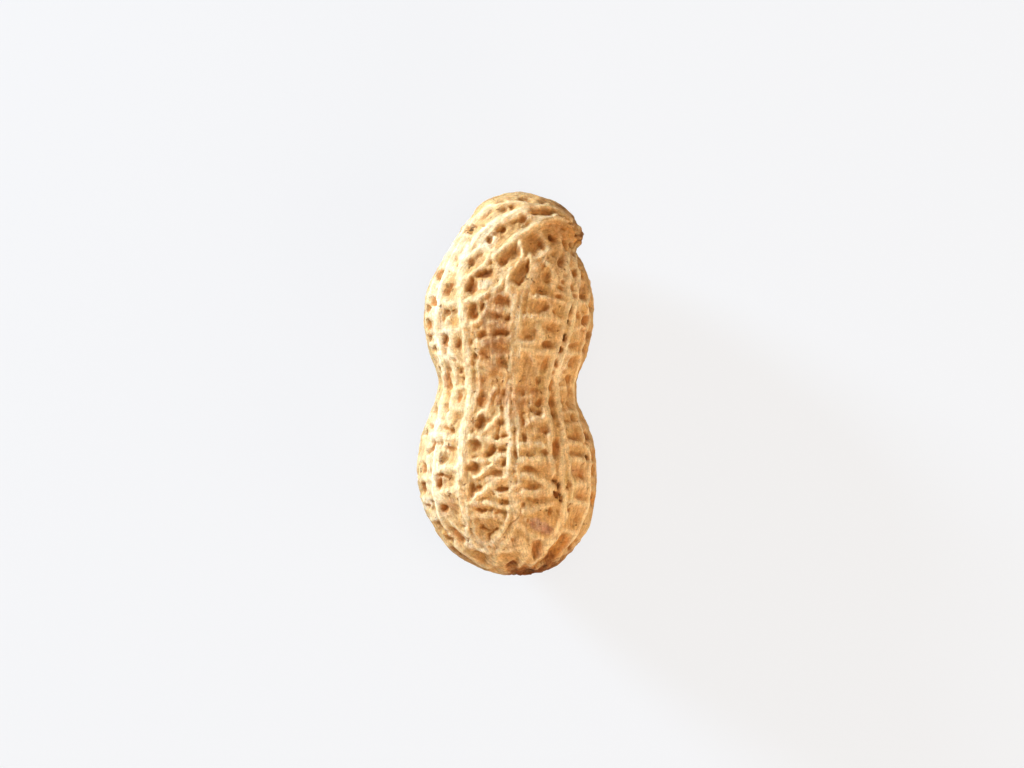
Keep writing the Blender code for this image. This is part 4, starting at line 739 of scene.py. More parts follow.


# ---- the fine skin --------------------------------------------------------
# stains and small damage, mixed with painted shade (broad red and brown patches over the
# middle of the beaked lobe, bands along the right-hand outline and the low end, dark insides
# of deep pits) and painted highlight (broad pale patches on the left flank, ridges and low end):
# kind, x, y, half-lengths along and across, tilt, strength, on the same grid as the net
MARKS = (
    ("grey", 517, 312, 16, 6, 90, 0.45), ("grey", 516.5, 345, 22, 6, 90, 0.5),
    ("grey", 571, 330, 30, 3, 106, 0.5), ("grey", 562.5, 460, 34, 4, 90, 0.5),
    # painted highlight, partly: the two pale marks on this line lighten the long ridges on the lit side
    ("grey", 515, 490, 26, 5, 90, 0.35), ("pale", 461, 455, 34, 5, 92, 0.6), ("pale", 510, 436, 30, 4, 90, 0.6),
    ("grey", 512, 283, 6, 4, 0, 0.5), ("grey", 565, 268, 14, 4, 90, 0.4),
    ("red", 448, 379, 18, 3, 88, 0.8), ("red", 556.5, 449, 9, 3.5, 90, 0.8),
    ("red", 450, 510, 10, 7, -20, 0.6), ("red", 513, 396, 34, 13, 0, 0.75), ("brown", 512, 397, 30, 9, 0, 0.22), ("red", 522, 414, 20, 16, 0, 0.55),
    ("red", 483, 383, 13, 12, 0, 0.60), ("red", 474, 426, 5, 8, 20, 0.5),
    ("red", 563, 230, 17, 10, 15, 0.62), ("red", 577, 232, 6, 12, -8, 0.5), ("brown", 582.3, 233.5, 1.6, 5, -10, 0.8), ("brown", 579.8, 226, 1.4, 7, -28, 0.8), ("brown", 579, 235.2, 4.2, 1.0, -10, 1.0), ("brown", 581.5, 241.0, 2.0, 1.6, 30, 0.8), ("red", 511, 567, 7, 4, -15, 1.3), ("brown", 511, 566.8, 5.5, 3.2, -20, 1.0),
    ("red", 473, 286, 4, 7, 0, 0.8), ("red", 473.5, 310, 4, 8, 0, 0.8),
    # painted shade, partly: the marks on this line darken the band by the lower right-hand edge
    ("red", 553.5, 554, 5.5, 13, 40, 1.3), ("red", 564, 543, 5, 9, 28, 0.9), ("brown", 550, 559, 4.0, 8, 42, 0.9), ("brown", 557, 563, 2.5, 9, 48, 0.9), ("orange", 557, 549, 5, 14, 40, 0.6),
    ("red", 537, 549, 6.5, 9, 0, 0.8), ("red", 584, 345, 5, 20, 10, 0.3),
    ("pink", 541, 527, 13, 7, 28, 1.25), ("red", 548, 528, 5, 4, 20, 0.4), ("pink", 478, 505, 8, 4, 0, 0.5),
    ("pink", 452, 501, 7, 3, 0, 0.5), ("pink", 576, 470, 7, 5, -30, 0.4),
    # partly painted shade: the dark and brown marks from here down darken the insides of deep pits, besides real
    # specks and slits
    ("dark", 555.2, 481.2, 2.2, 1.1, 10, 0.95), ("dark", 559.5, 485.2, 1.0, 2.6, -12, 1.0),
    ("dark", 554.6, 492.6, 1.5, 1.4, 0, 1.0), ("dark", 561, 496, 0.9, 3.6, -10, 0.95),
    ("dark", 561.4, 501, 1.3, 1.1, 0, 0.85), ("dark", 557.3, 498.4, 2.4, 0.9, 15, 0.75),
    ("brown", 556.8, 495.5, 4.2, 3.8, 10, 1.1), ("brown", 556, 483, 5.0, 3.0, 20, 0.9),
    ("brown", 558, 489, 2.0, 4.5, -5, 0.7), ("dark", 558.8, 488.6, 0.8, 1.6, 0, 0.7),
    ("dark", 569, 483.8, 0.9, 2.6, 12, 0.65), ("brown", 568, 487.8, 1.3, 3.2, 0, 0.8),
    ("dark", 571.4, 504.2, 2.2, 0.9, 20, 0.75), ("dark", 568.2, 506.2, 0.9, 2.2, 30, 0.7),
    ("brown", 569, 510.4, 1.4, 2.4, 0, 0.8), ("dark", 470, 229, 2.2, 1.5, -30, 0.9),
    ("dark", 473, 226.5, 2.6, 0.9, -10, 0.7), ("dark", 468, 232.5, 1.6, 0.9, 20, 0.8),
    ("dark", 578.6, 234.6, 3.4, 0.8, -8, 0.62), ("dark", 579.0, 240.5, 1.0, 3.2, 30, 0.75),
    ("dark", 571.5, 223.3, 2.6, 0.8, 16, 0.55), ("dark", 553, 237, 1.8, 4.0, -32, 0.55),
    ("dark", 566.3, 243.4, 1.0, 2.8, -35, 0.50), ("dark", 572, 245, 0.8, 2.2, 0, 0.50),
    ("dark", 571.2, 309, 0.9, 6.5, 12, 0.60), ("dark", 568.6, 321.6, 1.2, 2.2, 18, 0.85),
    ("dark", 565.4, 337.5, 1.2, 4.6, 20, 0.90), ("dark", 560.6, 350, 1.2, 4.2, 22, 0.90),
    ("dark", 556.3, 363.5, 1.0, 5.2, 24, 0.55), ("dark", 587.3, 457.5, 0.9, 3.0, -5, 0.85),
    ("dark", 592, 335, 1.0, 4.2, 8, 0.35), ("brown", 589, 335, 2.0, 4.6, 8, 0.7),
    ("orange", 593.2, 455, 2.2, 6.5, -8, 0.62), ("orange", 594.3, 470.5, 2.2, 6.5, 0, 0.62),
    ("orange", 594, 500, 2.2, 7.0, 4, 0.62), ("orange", 591, 306, 1.8, 6.0, 4, 0.45),
    # painted shade: the two broad marks at x 495 on this line darken the middle of the beaked lobe
    ("brown", 588, 436, 2.0, 4.2, -25, 0.8), ("red", 495, 338, 17, 44, 0, 0.72), ("brown", 495, 325, 16, 48, 0, 0.50),
    ("red", 583, 287, 5, 8, 5, 0.35), ("red", 581, 498, 6, 5, 0, 0.5), ("dark", 449.6, 539.5, 1.0, 5.6, -36, 0.9),
    ("dark", 576.5, 222.8, 0.9, 2.6, -35, 0.60), ("dark", 565, 228.3, 3.4, 0.9, 18, 0.45),
    ("dark", 534.4, 558.2, 1.0, 2.4, 8, 0.60), ("dark", 543.3, 562.3, 2.2, 1.0, -30, 0.60),
    ("dark", 540.5, 564.6, 2.4, 0.9, 10, 0.60), ("dark", 545, 567.6, 2.8, 1.2, -20, 0.60),
    # painted shade, partly: the marks on this line and the next darken the stem scar and the edge of the low end
    ("red", 529, 571, 22, 5.0, -3, 1.2), ("brown", 528, 572.5, 20, 3.8, -2, 1.5), ("brown", 546, 567.0, 11, 4.2, -27, 1.4), ("red", 548, 565, 12, 4.0, -35, 0.9),
    ("dark", 531, 572.5, 7.5, 1.6, -4, 0.62), ("dark", 519, 574.3, 7, 1.4, 2, 0.65),
    # painted shade, partly: the brown bands on this line and the next run along the right-hand outline near both ends
    ("brown", 562, 205.5, 14, 2.2, 38, 0.65), ("brown", 575.0, 218.5, 9, 1.8, 52, 0.85),
    ("brown", 556, 564, 9, 2.2, -42, 0.8), ("brown", 568, 553, 9, 2.0, -48, 0.7),
    ("brown", 530, 565, 9, 2.6, 0, 0.45),
    ("orange", 469.5, 230, 5, 3.6, -30, 0.8), ("orange", 577.8, 240.5, 3.4, 3.4, 10, 1.6),
    ("orange", 445, 534, 2.0, 8.0, -35, 1.0), ("orange", 530, 561, 5, 3, 0, 0.6),
    ("orange", 509, 558, 11, 4.5, 5, 0.5), ("orange", 481, 559, 7, 4, 40, 0.5),
    ("orange", 567, 217.5, 4, 3.5, 30, 0.5),
    ("orange", 572, 232, 9, 6, 40, 0.6), ("orange", 583, 335, 5, 9, 20, 0.35),
    # painted highlight, partly: the broad pale marks on this line lighten the left flank, ridges and the low end
    # where the lamps fall brightest
    ("pale", 480, 544, 22, 9, 20, 0.75), ("pale", 561, 362, 9, 24, 12, 0.7), ("pale", 482, 284, 12, 5, -14, 0.9), ("pale", 500, 268, 6, 12, 0, 0.4), ("pale", 582, 330, 8, 16, 12, 0.4), ("pale", 505, 545, 14, 8, 0, 0.6), ("pale", 428, 502, 8, 20, 75, 0.8), ("pale", 487, 238, 10, 18, 30, 0.8), ("pale", 441, 512, 10, 16, 70, 0.5), ("pale", 533, 522, 14, 4, 10, 0.5), ("pale", 440, 330, 13, 62, -8, 0.62), ("pale", 436, 455, 14, 62, 4, 0.62), ("pale", 455, 255, 14, 30, 35, 0.55), ("pale", 568, 285, 16, 40, -12, 0.42), ("pale", 586, 460, 8, 50, 0, 0.30), ("pale", 535, 350, 24, 40, 0, 0.24),
    ("brown", 470, 315, 12, 40, 0, 0.14), ("red", 500, 300, 20, 16, 0, 0.35), ("red", 530, 278, 10, 12, 0, 0.35),
    ("orange", 457, 424, 6, 5, 0, 0.3), ("orange", 455, 520, 9, 4, 10, 0.35),
    ("red", 439.2, 273, 5.5, 2.0, 132, 1.05), ("red", 448, 287, 6, 2.2, 133, 1.4),
    ("red", 432.5, 301, 7, 2.2, 121, 1.22), ("red", 427.8, 323.4, 5, 1.6, 90, 1.05),
    ("red", 445.3, 342.3, 6, 3, 90, 0.79), ("red", 459.4, 345, 7, 3, 90, 0.79),
    ("orange", 453.4, 320.8, 5, 4, 90, 0.79), ("red", 502, 301, 9, 6, 10, 1.22),
    ("brown", 503, 318, 8, 2, 14, 0.79), ("red", 485.5, 353, 6, 5, 0, 1.05),
    ("brown", 503.5, 363, 5, 2.6, 25, 0.79), ("red", 503, 348, 7, 3.5, 0, 0.7),
    ("dark", 475.5, 355.5, 3.6, 0.8, 62, 0.7), ("dark", 473.3, 334.5, 4, 0.7, 62, 0.45),
    ("brown", 461.5, 372, 2, 1.6, 0, 0.88), ("brown", 464, 378.5, 1.8, 2.2, 0, 0.88),
    ("red", 432, 447.5, 8, 1.8, 116, 1.22), ("red", 452, 448, 7, 1.6, 13, 1.05),
    ("red", 443, 460, 4, 1.6, 125, 1.22), ("red", 446.5, 476, 9, 1.8, 13, 1.4),
    ("red", 438.8, 482.5, 9, 1.8, 83, 1.4), ("red", 443, 508.5, 4.5, 1.8, 80, 1.4),
    ("red", 451, 506, 8, 3, 8, 0.7), ("red", 422.8, 469, 5, 2, 85, 0.96),
    ("red", 423.2, 486.5, 6.5, 2, 90, 1.05), ("red", 449, 429, 6, 1.4, 15, 0.88),
    ("red", 459.5, 399, 5, 1.8, 100, 0.96), ("red", 447, 533, 10, 3, 48, 0.79),
    ("red", 458.5, 537, 8, 4, 52, 1.22), ("brown", 460, 554, 11, 1.4, 33, 0.88),
    ("red", 482, 400, 5, 6, 20, 1.05), ("red", 593.2, 455, 2, 6, -8, 0.79),
    ("red", 594, 470, 2, 5.5, 0, 0.79), ("red", 593.6, 499.5, 2, 6.5, 4, 0.79),
    ("red", 580, 473, 6, 6, 0, 0.88), ("red", 545, 430, 6, 5, 0, 0.88),
)

COLUMNS = 96                     # mesh columns in a quarter of the way round
ROWS = 200                       # mesh rows between the end caps
BODY = "root"


def noise(p, size, seed):
    """Smooth noise from -1 to 1 with features of about that size (same units as p)."""
    q = p / size + 61.7 * (seed % 17) + 13.1
    cell = np.floor(q).astype(np.int64)
    f = q - cell
    f = f * f * f * (f * (f * 6 - 15) + 10)
    total = np.zeros(len(p))
    for dx in (0, 1):
        for dy in (0, 1):
            for dz in (0, 1):
                c = cell + np.array([dx, dy, dz])
                h = (c[:, 0] * 374761393 + c[:, 1] * 668265263 + c[:, 2] * 1274126177
                     + seed * 974634777) & 0xFFFFFFFF
                h = ((h ^ (h >> 13)) * 1103515245) & 0xFFFFFFFF
                h = (h ^ (h >> 16)) & 0xFFFFFF
                w = ((f[:, 0] if dx else 1 - f[:, 0]) * (f[:, 1] if dy else 1 - f[:, 1])
                     * (f[:, 2] if dz else 1 - f[:, 2]))
                total += w * (h / float(0xFFFFFF) * 2 - 1)
    return total


def grid_quads():
    """Points and quads of a cube cut into a fine grid, with more rows along Y."""
    count = (COLUMNS, ROWS, COLUMNS)
    pts, quads, start = [], [], 0
    for u, v, w, sign in ((0, 1, 2, 1), (1, 0, 2, -1), (1, 2, 0, 1), (2, 1, 0, -1),
                          (2, 0, 1, 1), (0, 2, 1, -1)):
        nu, nv = count[u], count[v]
        iu, iv = np.meshgrid(np.arange(nu + 1), np.arange(nv + 1), indexing="ij")
        p = np.zeros((iu.size, 3), dtype=np.int64)
        p[:, u] = iu.ravel() * 2 - nu
        p[:, v] = iv.ravel() * 2 - nv
        p[:, w] = sign * count[w]
        a = (iu[:-1, :-1] * (nv + 1) + iv[:-1, :-1]).ravel() + start
        quads.append(np.stack([a, a + nv + 1, a + nv + 2, a + 1], axis=1))
        pts.append(p)
        start += len(p)
    pts, quads = np.concatenate(pts), np.concatenate(quads)
    key = (pts[:, 0] * 4096 + pts[:, 1]) * 4096 + pts[:, 2]
    _, first, back = np.unique(key, return_index=True, return_inverse=True)
    cube = pts[first] / np.array(count, dtype=float)
    return cube, back.ravel()[quads]


def seen_from_above(p):
    """Places in the tracing grid of points on the upper side."""
    mid_z = PROFILE[4][1] * MM
    far = (EYE_HEIGHT - mid_z) / (EYE_HEIGHT - p[:, 2])
    return (GRID_MIDDLE[0] + p[:, 0] * far / GRID_STEP,
            GRID_MIDDLE[1] - p[:, 1] * far / GRID_STEP)


def bowl(r, wide=0.0):
    """Profile of a hollow: steep at the edge, or a wide dish where wide is 1."""
    steep = (1 - smooth(0.40, 1.38, r)) * (1 - 0.10 * np.minimum(r, 1.4) ** 2)
    return (1 - wide) * steep + wide * (1 - smooth(0.05, 1.32, r))


def crest_height(p, lines):
    """Height of the rounded ridges at each point, from 0 to about 1.3."""
    total = np.zeros(len(p))
    for half, high, line in lines:
        half = 1.32 * half
        low, top = line.min(axis=0) - 2.4 * half, line.max(axis=0) + 2.4 * half
        near = np.nonzero(((p > low) & (p < top)).all(axis=1))[0]
        if len(near):
            d = distance(p[near], line)
            total[near] += (high * np.exp(-(d / half) ** 2.2)) ** 3.4
    return total ** (1 / 3.4)


def hollow_depth(p, placed, n, under):
    """Depth of the hollows and how dark their colour is at each point, 0 to about 1.2; the darkness is partly the
    husk's own pit colour and partly painted shade.
    """
    total, pit_stain_and_shade = np.zeros(len(p)), np.zeros(len(p))
    wx, wy = noise(p / MM, 0.80, 3), noise(p / MM, 0.80, 4)
    fx, fy = noise(p / MM, 0.33, 5), noise(p / MM, 0.33, 6)
    up = np.nonzero(n[:, 2] > 0.06)[0]
    gx, gy = seen_from_above(placed[up])
    gx = gx + 1.4 * wx[up] + 0.95 * fx[up]
    gy = gy + 1.4 * wy[up] + 0.95 * fy[up]
    slope = np.clip(n[up, 2], 0.30, 1.0)
    fade = smooth(0.05, 0.20, n[up, 2])
    for x, y, rx, ry, tilt, deep in HOLLOWS:
        t = np.radians(tilt)
        dx, dy = gx - x, gy - y
        reach = 1.4 * max(rx, ry) + 1
        near = np.nonzero((np.abs(dx) < reach) & (np.abs(dy) < reach))[0]
        if len(near):
            a = (dx[near] * np.cos(t) + dy[near] * np.sin(t)) / (1.04 * rx + 0.6)
            b = (-dx[near] * np.sin(t) + dy[near] * np.cos(t)) / (1.04 * ry + 0.6)
            r = (np.abs(a) ** 2.6 + np.abs(b) ** 2.6) ** (1 / 2.6)
            wide = smooth(2.8, 6.0, min(rx, ry)) * (1 - smooth(0.50, 0.85, deep))
            flat = smooth(3.0, 7.0, min(rx, ry))
            g = deep * bowl(r, wide) * fade[near]
            pit_stain_and_shade[up[near]] = np.maximum(pit_stain_and_shade[up[near]], g * (1 - max(0.74 * wide, 0.45 * flat)))
            g = g * np.minimum(1.2, 0.5 + 0.16 * min(rx, ry) / slope[near])
            total[up[near]] = np.maximum(total[up[near]], g) + 0.35 * np.minimum(total[up[near]], g)
    warped = p + 0.10 * MM * np.stack([wx, wy, fx], axis=1)
    for c, along, across, half_long, half_wide, deep in under:
        q = warped - c
        near = np.nonzero((q * q).sum(axis=1) < (1.6 * max(half_long, half_wide)) ** 2)[0]
        if len(near):
            a = (q[near] @ along) / half_long
            b = (q[near] @ across) / half_wide
            wide = smooth(2.8, 6.0, min(half_long, half_wide) / GRID_STEP) * (1 - smooth(0.50, 0.85, deep))
            g = deep * bowl((np.abs(a) ** 2.6 + np.abs(b) ** 2.6) ** (1 / 2.6), wide)
            pit_stain_and_shade[near] = np.maximum(pit_stain_and_shade[near], g * (1 - 0.60 * wide))
            total[near] = np.maximum(total[near], g) + 0.35 * np.minimum(total[near], g)
    return total, pit_stain_and_shade


def marks(p, n):
    """Stains, specks, small damage, painted shade and painted highlight on the upper side, one field for each colour.
    """
    fields = {}
    up = np.nonzero(n[:, 2] > -0.7)[0]
    fade = smooth(-0.55, 0.05, n[up, 2])
    gx, gy = seen_from_above(p[up])
    wx = 1.6 * noise(p[up] / MM, 0.6, 41) + 1.1 * noise(p[up] / MM, 0.28, 42)
    wy = 1.6 * noise(p[up] / MM, 0.6, 43) + 1.1 * noise(p[up] / MM, 0.28, 44)
    for kind, x, y, rx, ry, tilt, strength in MARKS:
        field = fields.setdefault(kind, np.zeros(len(p)))
        t = np.radians(tilt)
        loose = min(1.0, max(0.3, min(rx, ry) / 4))
        dx, dy = gx + loose * wx - x, gy + loose * wy - y
        a = (dx * np.cos(t) + dy * np.sin(t)) / rx
        b = (-dx * np.sin(t) + dy * np.cos(t)) / ry
        g = strength * (1 - smooth(0.5, 1.35, np.hypot(a, b))) * fade
        field[up] = np.maximum(field[up], g)
    return fields


def grain_place(d):
    """Coordinates that run with the fibres: round, along, round. Millimetres."""
    lat = np.degrees(np.arcsin(np.clip(d[:, 1], -1, 1)))
    back = d
    for _ in range(6):           # undo the lean
        turned = lean(back)
        back = unit(back + (d - turned))
    lat = np.arcsin(np.clip(back[:, 1], -1, 1))
    lon = np.arctan2(back[:, 0], back[:, 2])
    return np.stack([8.0 * np.sin(lon), 20.0 * lat, 8.0 * np.cos(lon)], axis=1)


def skin():
    cube, quads = grid_quads()
    d = unit(np.tan(np.clip(cube, -1, 1) * np.pi / 4))
    base, normal = body(d), body_normal(d)
    mm = base / MM
    lines, under = under_net()
    for half, high, line in RIDGE_LINES:
        lines.append((half * GRID_STEP, high, on_top(line)))
    warp = np.stack([noise(mm, 1.1, 21), noise(mm, 1.1, 22), noise(mm, 1.1, 23)], axis=1)
    warp += 0.6 * np.stack([noise(mm, 0.4, 24), noise(mm, 0.4, 25), noise(mm, 0.4, 26)], axis=1)
    warped = base + 0.105 * MM * warp
    ridge = crest_height(warped, lines) * (1 + 0.24 * noise(mm, 0.9, 27) + 0.18 * noise(mm, 0.38, 28))
    # worn smoother at the waist and on one flank of the stem lobe
    worn = np.exp(-((mm[:, 1] - 1.2) / 3.2) ** 2) * (0.30 + 0.10 * smooth(0, -3, mm[:, 0]))
    worn = np.maximum(worn, 0.24 * smooth(0.8, 3.0, mm[:, 0]) * np.exp(-((mm[:, 1] + 8.0) / 6.0) ** 2))
    placed = ends(base)
    hollow, pit_stain_and_shade = hollow_depth(base, placed, normal, under)
    crack = np.zeros(len(base))
    for deep, line in CRACKS:
        far = distance(base + 0.03 * MM * warp, on_top(line))
        crack = np.maximum(crack, deep * np.exp(-(far / (0.085 * MM)) ** 2))

    spots = marks(placed, normal)
    grain = grain_place(d)
    fibre = np.stack([grain[:, 0], grain[:, 1] * 0.14, grain[:, 2]], axis=1)
    strand = noise(fibre, 0.42, 31) + 0.6 * noise(fibre, 0.21, 32)
    rough = noise(mm, 0.55, 33) + 0.5 * noise(mm, 0.27, 34)
    swell = noise(mm, 3.2, 35)
    dimple = noise(mm, 0.80, 36) + 0.45 * noise(mm, 0.45, 37)
    floor = 1 - smooth(0.10, 0.75, ridge)
    rise = (0.74 * RIDGE_RISE * ridge * (1 - worn) - 0.72 * HOLLOW_DROP * hollow * (1 - worn) * (1 - 0.35 * np.minimum(ridge, 1))
            - 0.09 * MM * crack + 0.046 * MM * strand * (0.4 + ridge) + 0.042 * MM * rough
            + 0.05 * MM * swell + 0.055 * MM * dimple * floor
            - 0.16 * MM * spots["dark"])
    p = base + normal * rise[:, None]
    p = ends(p)
    # the stem scar: a rough ring round a torn middle
    off = np.hypot(p[:, 0] - 1.75 * MM, p[:, 2] - 7.9 * MM) / MM
    torn = (p[:, 1] < -15.5 * MM) * (0.26 * np.exp(-((off - 1.15 - 0.2 * warp[:, 0]) / 0.34) ** 2)
                                     - 0.30 * np.exp(-(off / 0.75) ** 2)
                                     + 0.16 * rough * np.exp(-(off / 1.1) ** 2))
    p[:, 1] -= torn * MM
    # settled on the table: crests that would go below it are flattened
    low = p[:, 2] / MM
    p[:, 2] = np.where(low < 0.25, 0.125 * smooth(-0.25, 0.25, low) * MM + np.maximum(low, 0) * 0.5 * MM, p[:, 2])
    p[:, 2] = np.maximum(p[:, 2], 0.0)

    mesh = bpy.data.meshes.new("peanut_skin")
    mesh.vertices.add(len(p))
    mesh.vertices.foreach_set("co", p.astype(np.float32).ravel())
    mesh.loops.add(quads.size)
    mesh.loops.foreach_set("vertex_index", quads.astype(np.int32).ravel())
    mesh.polygons.add(len(quads))
    mesh.polygons.foreach_set("loop_start", np.arange(0, quads.size, 4, dtype=np.int32))
    mesh.update(calc_edges=True)
    mesh.validate()
    mesh.polygons.foreach_set("use_smooth", np.ones(len(quads), dtype=bool))

    def keep(name, values, kind="FLOAT"):
        layer = mesh.attributes.new(name, kind, "POINT")
        layer.data.foreach_set("value" if kind == "FLOAT" else "vector",
                               values.astype(np.float32).ravel())

    for kind, field in spots.items():
        keep(kind, field)
    keep("ridge", ridge)
    # the hollow depth, the darkness of the hollows and the cell floors below turn the colour to darker browns: partly
    # the husk's own pit colour, partly painted shade in the recesses
    keep("hollow", hollow)
    keep("pit_stain_and_shade", pit_stain_and_shade)
    keep("crack", crack)
    # painted shade mask: 1 where the skin faces sideways or down, stronger on the -X flank that the key lamp lights
    keep("side", (1 - smooth(-0.05, 0.32, normal[:, 2])) * (0.75 + 0.25 * smooth(0.2, -0.5, normal[:, 0])))
    keep("cell", np.clip(floor * (0.72 - 0.28 * dimple), 0, 1.2))
    keep("stem", np.exp(-(np.linalg.norm(p - np.array([2.6, -18.6, 6.8]) * MM, axis=1) / (3.3 * MM)) ** 2))
    keep("grain", grain, "FLOAT_VECTOR")
    scar = np.maximum(0.9 * lump(p, (2.7, -17.9, 8.2), (3.0, 0.8, 3.2)),
                      1.2 * (p[:, 1] < -15.5 * MM) * (1 - smooth(1.0, 1.9, off + 0.3 * warp[:, 1])))
    tip = lump(p, (7.3, 13.8, 8.3), (0.8, 0.6, 1.2))
    keep("scar", np.clip(scar + 0.3 * tip * (0.6 + rough), 0, 1))
    obj = bpy.data.objects.new("peanut_skin", mesh)
    bpy.context.scene.collection.objects.link(obj)
    return obj


# ---- finish ---------------------------------------------------------------
def node(tree, kind, at, **values):
    made = tree.nodes.new(kind)
    made.location = at
    for key, value in values.items():
        if key in made.inputs:
            made.inputs[key].default_value = value
        else:
            setattr(made, key, value)
    return made


def mix_colour(tree, at, factor, a, b, blend="MIX"):
    made = node(tree, "ShaderNodeMix", at, data_type="RGBA", blend_type=blend)
    sockets = {0: factor, 6: a, 7: b}
    for index, value in sockets.items():
        if hasattr(value, "is_output"):
            tree.links.new(value, made.inputs[index])
        elif isinstance(value, (int, float)):
            made.inputs[index].default_value = value
        else:
            made.inputs[index].default_value = (*value, 1.0)
    return made.outputs[2]


def maths(tree, at, operation, a, b=None, c=None, clamp=False):
    made = node(tree, "ShaderNodeMath", at, operation=operation, use_clamp=clamp)
    for index, value in enumerate((a, b, c)):
        if value is None:
            continue
        if hasattr(value, "is_output"):
            tree.links.new(value, made.inputs[index])
        else:
            made.inputs[index].default_value = value
    return made.outputs[0]


def ramp(tree, at, value, low, high, out_low=0.0, out_high=1.0, smooth_step=True):
    made = node(tree, "ShaderNodeMapRange", at,
                interpolation_type="SMOOTHSTEP" if smooth_step else "LINEAR", clamp=True)
    tree.links.new(value, made.inputs["Value"])
    made.inputs["From Min"].default_value = low
    made.inputs["From Max"].default_value = high
    made.inputs["To Min"].default_value = out_low
    made.inputs["To Max"].default_value = out_high
    return made.outputs["Result"]


def noise_tex(tree, at, vector, scale, detail=3.0, roughness=0.55, stretch=None):
    if stretch is not None:
        mapping = node(tree, "ShaderNodeMapping", (at[0] - 180, at[1]))
        mapping.inputs["Scale"].default_value = stretch
        tree.links.new(vector, mapping.inputs["Vector"])
        vector = mapping.outputs["Vector"]
    made = node(tree, "ShaderNodeTexNoise", at, Scale=scale, Detail=detail, Roughness=roughness)
    tree.links.new(vector, made.inputs["Vector"])
    return made.outputs["Fac"]


def attribute(tree, at, name, output="Fac"):
    made = node(tree, "ShaderNodeAttribute", at, attribute_name=name)
    return made.outputs[output]


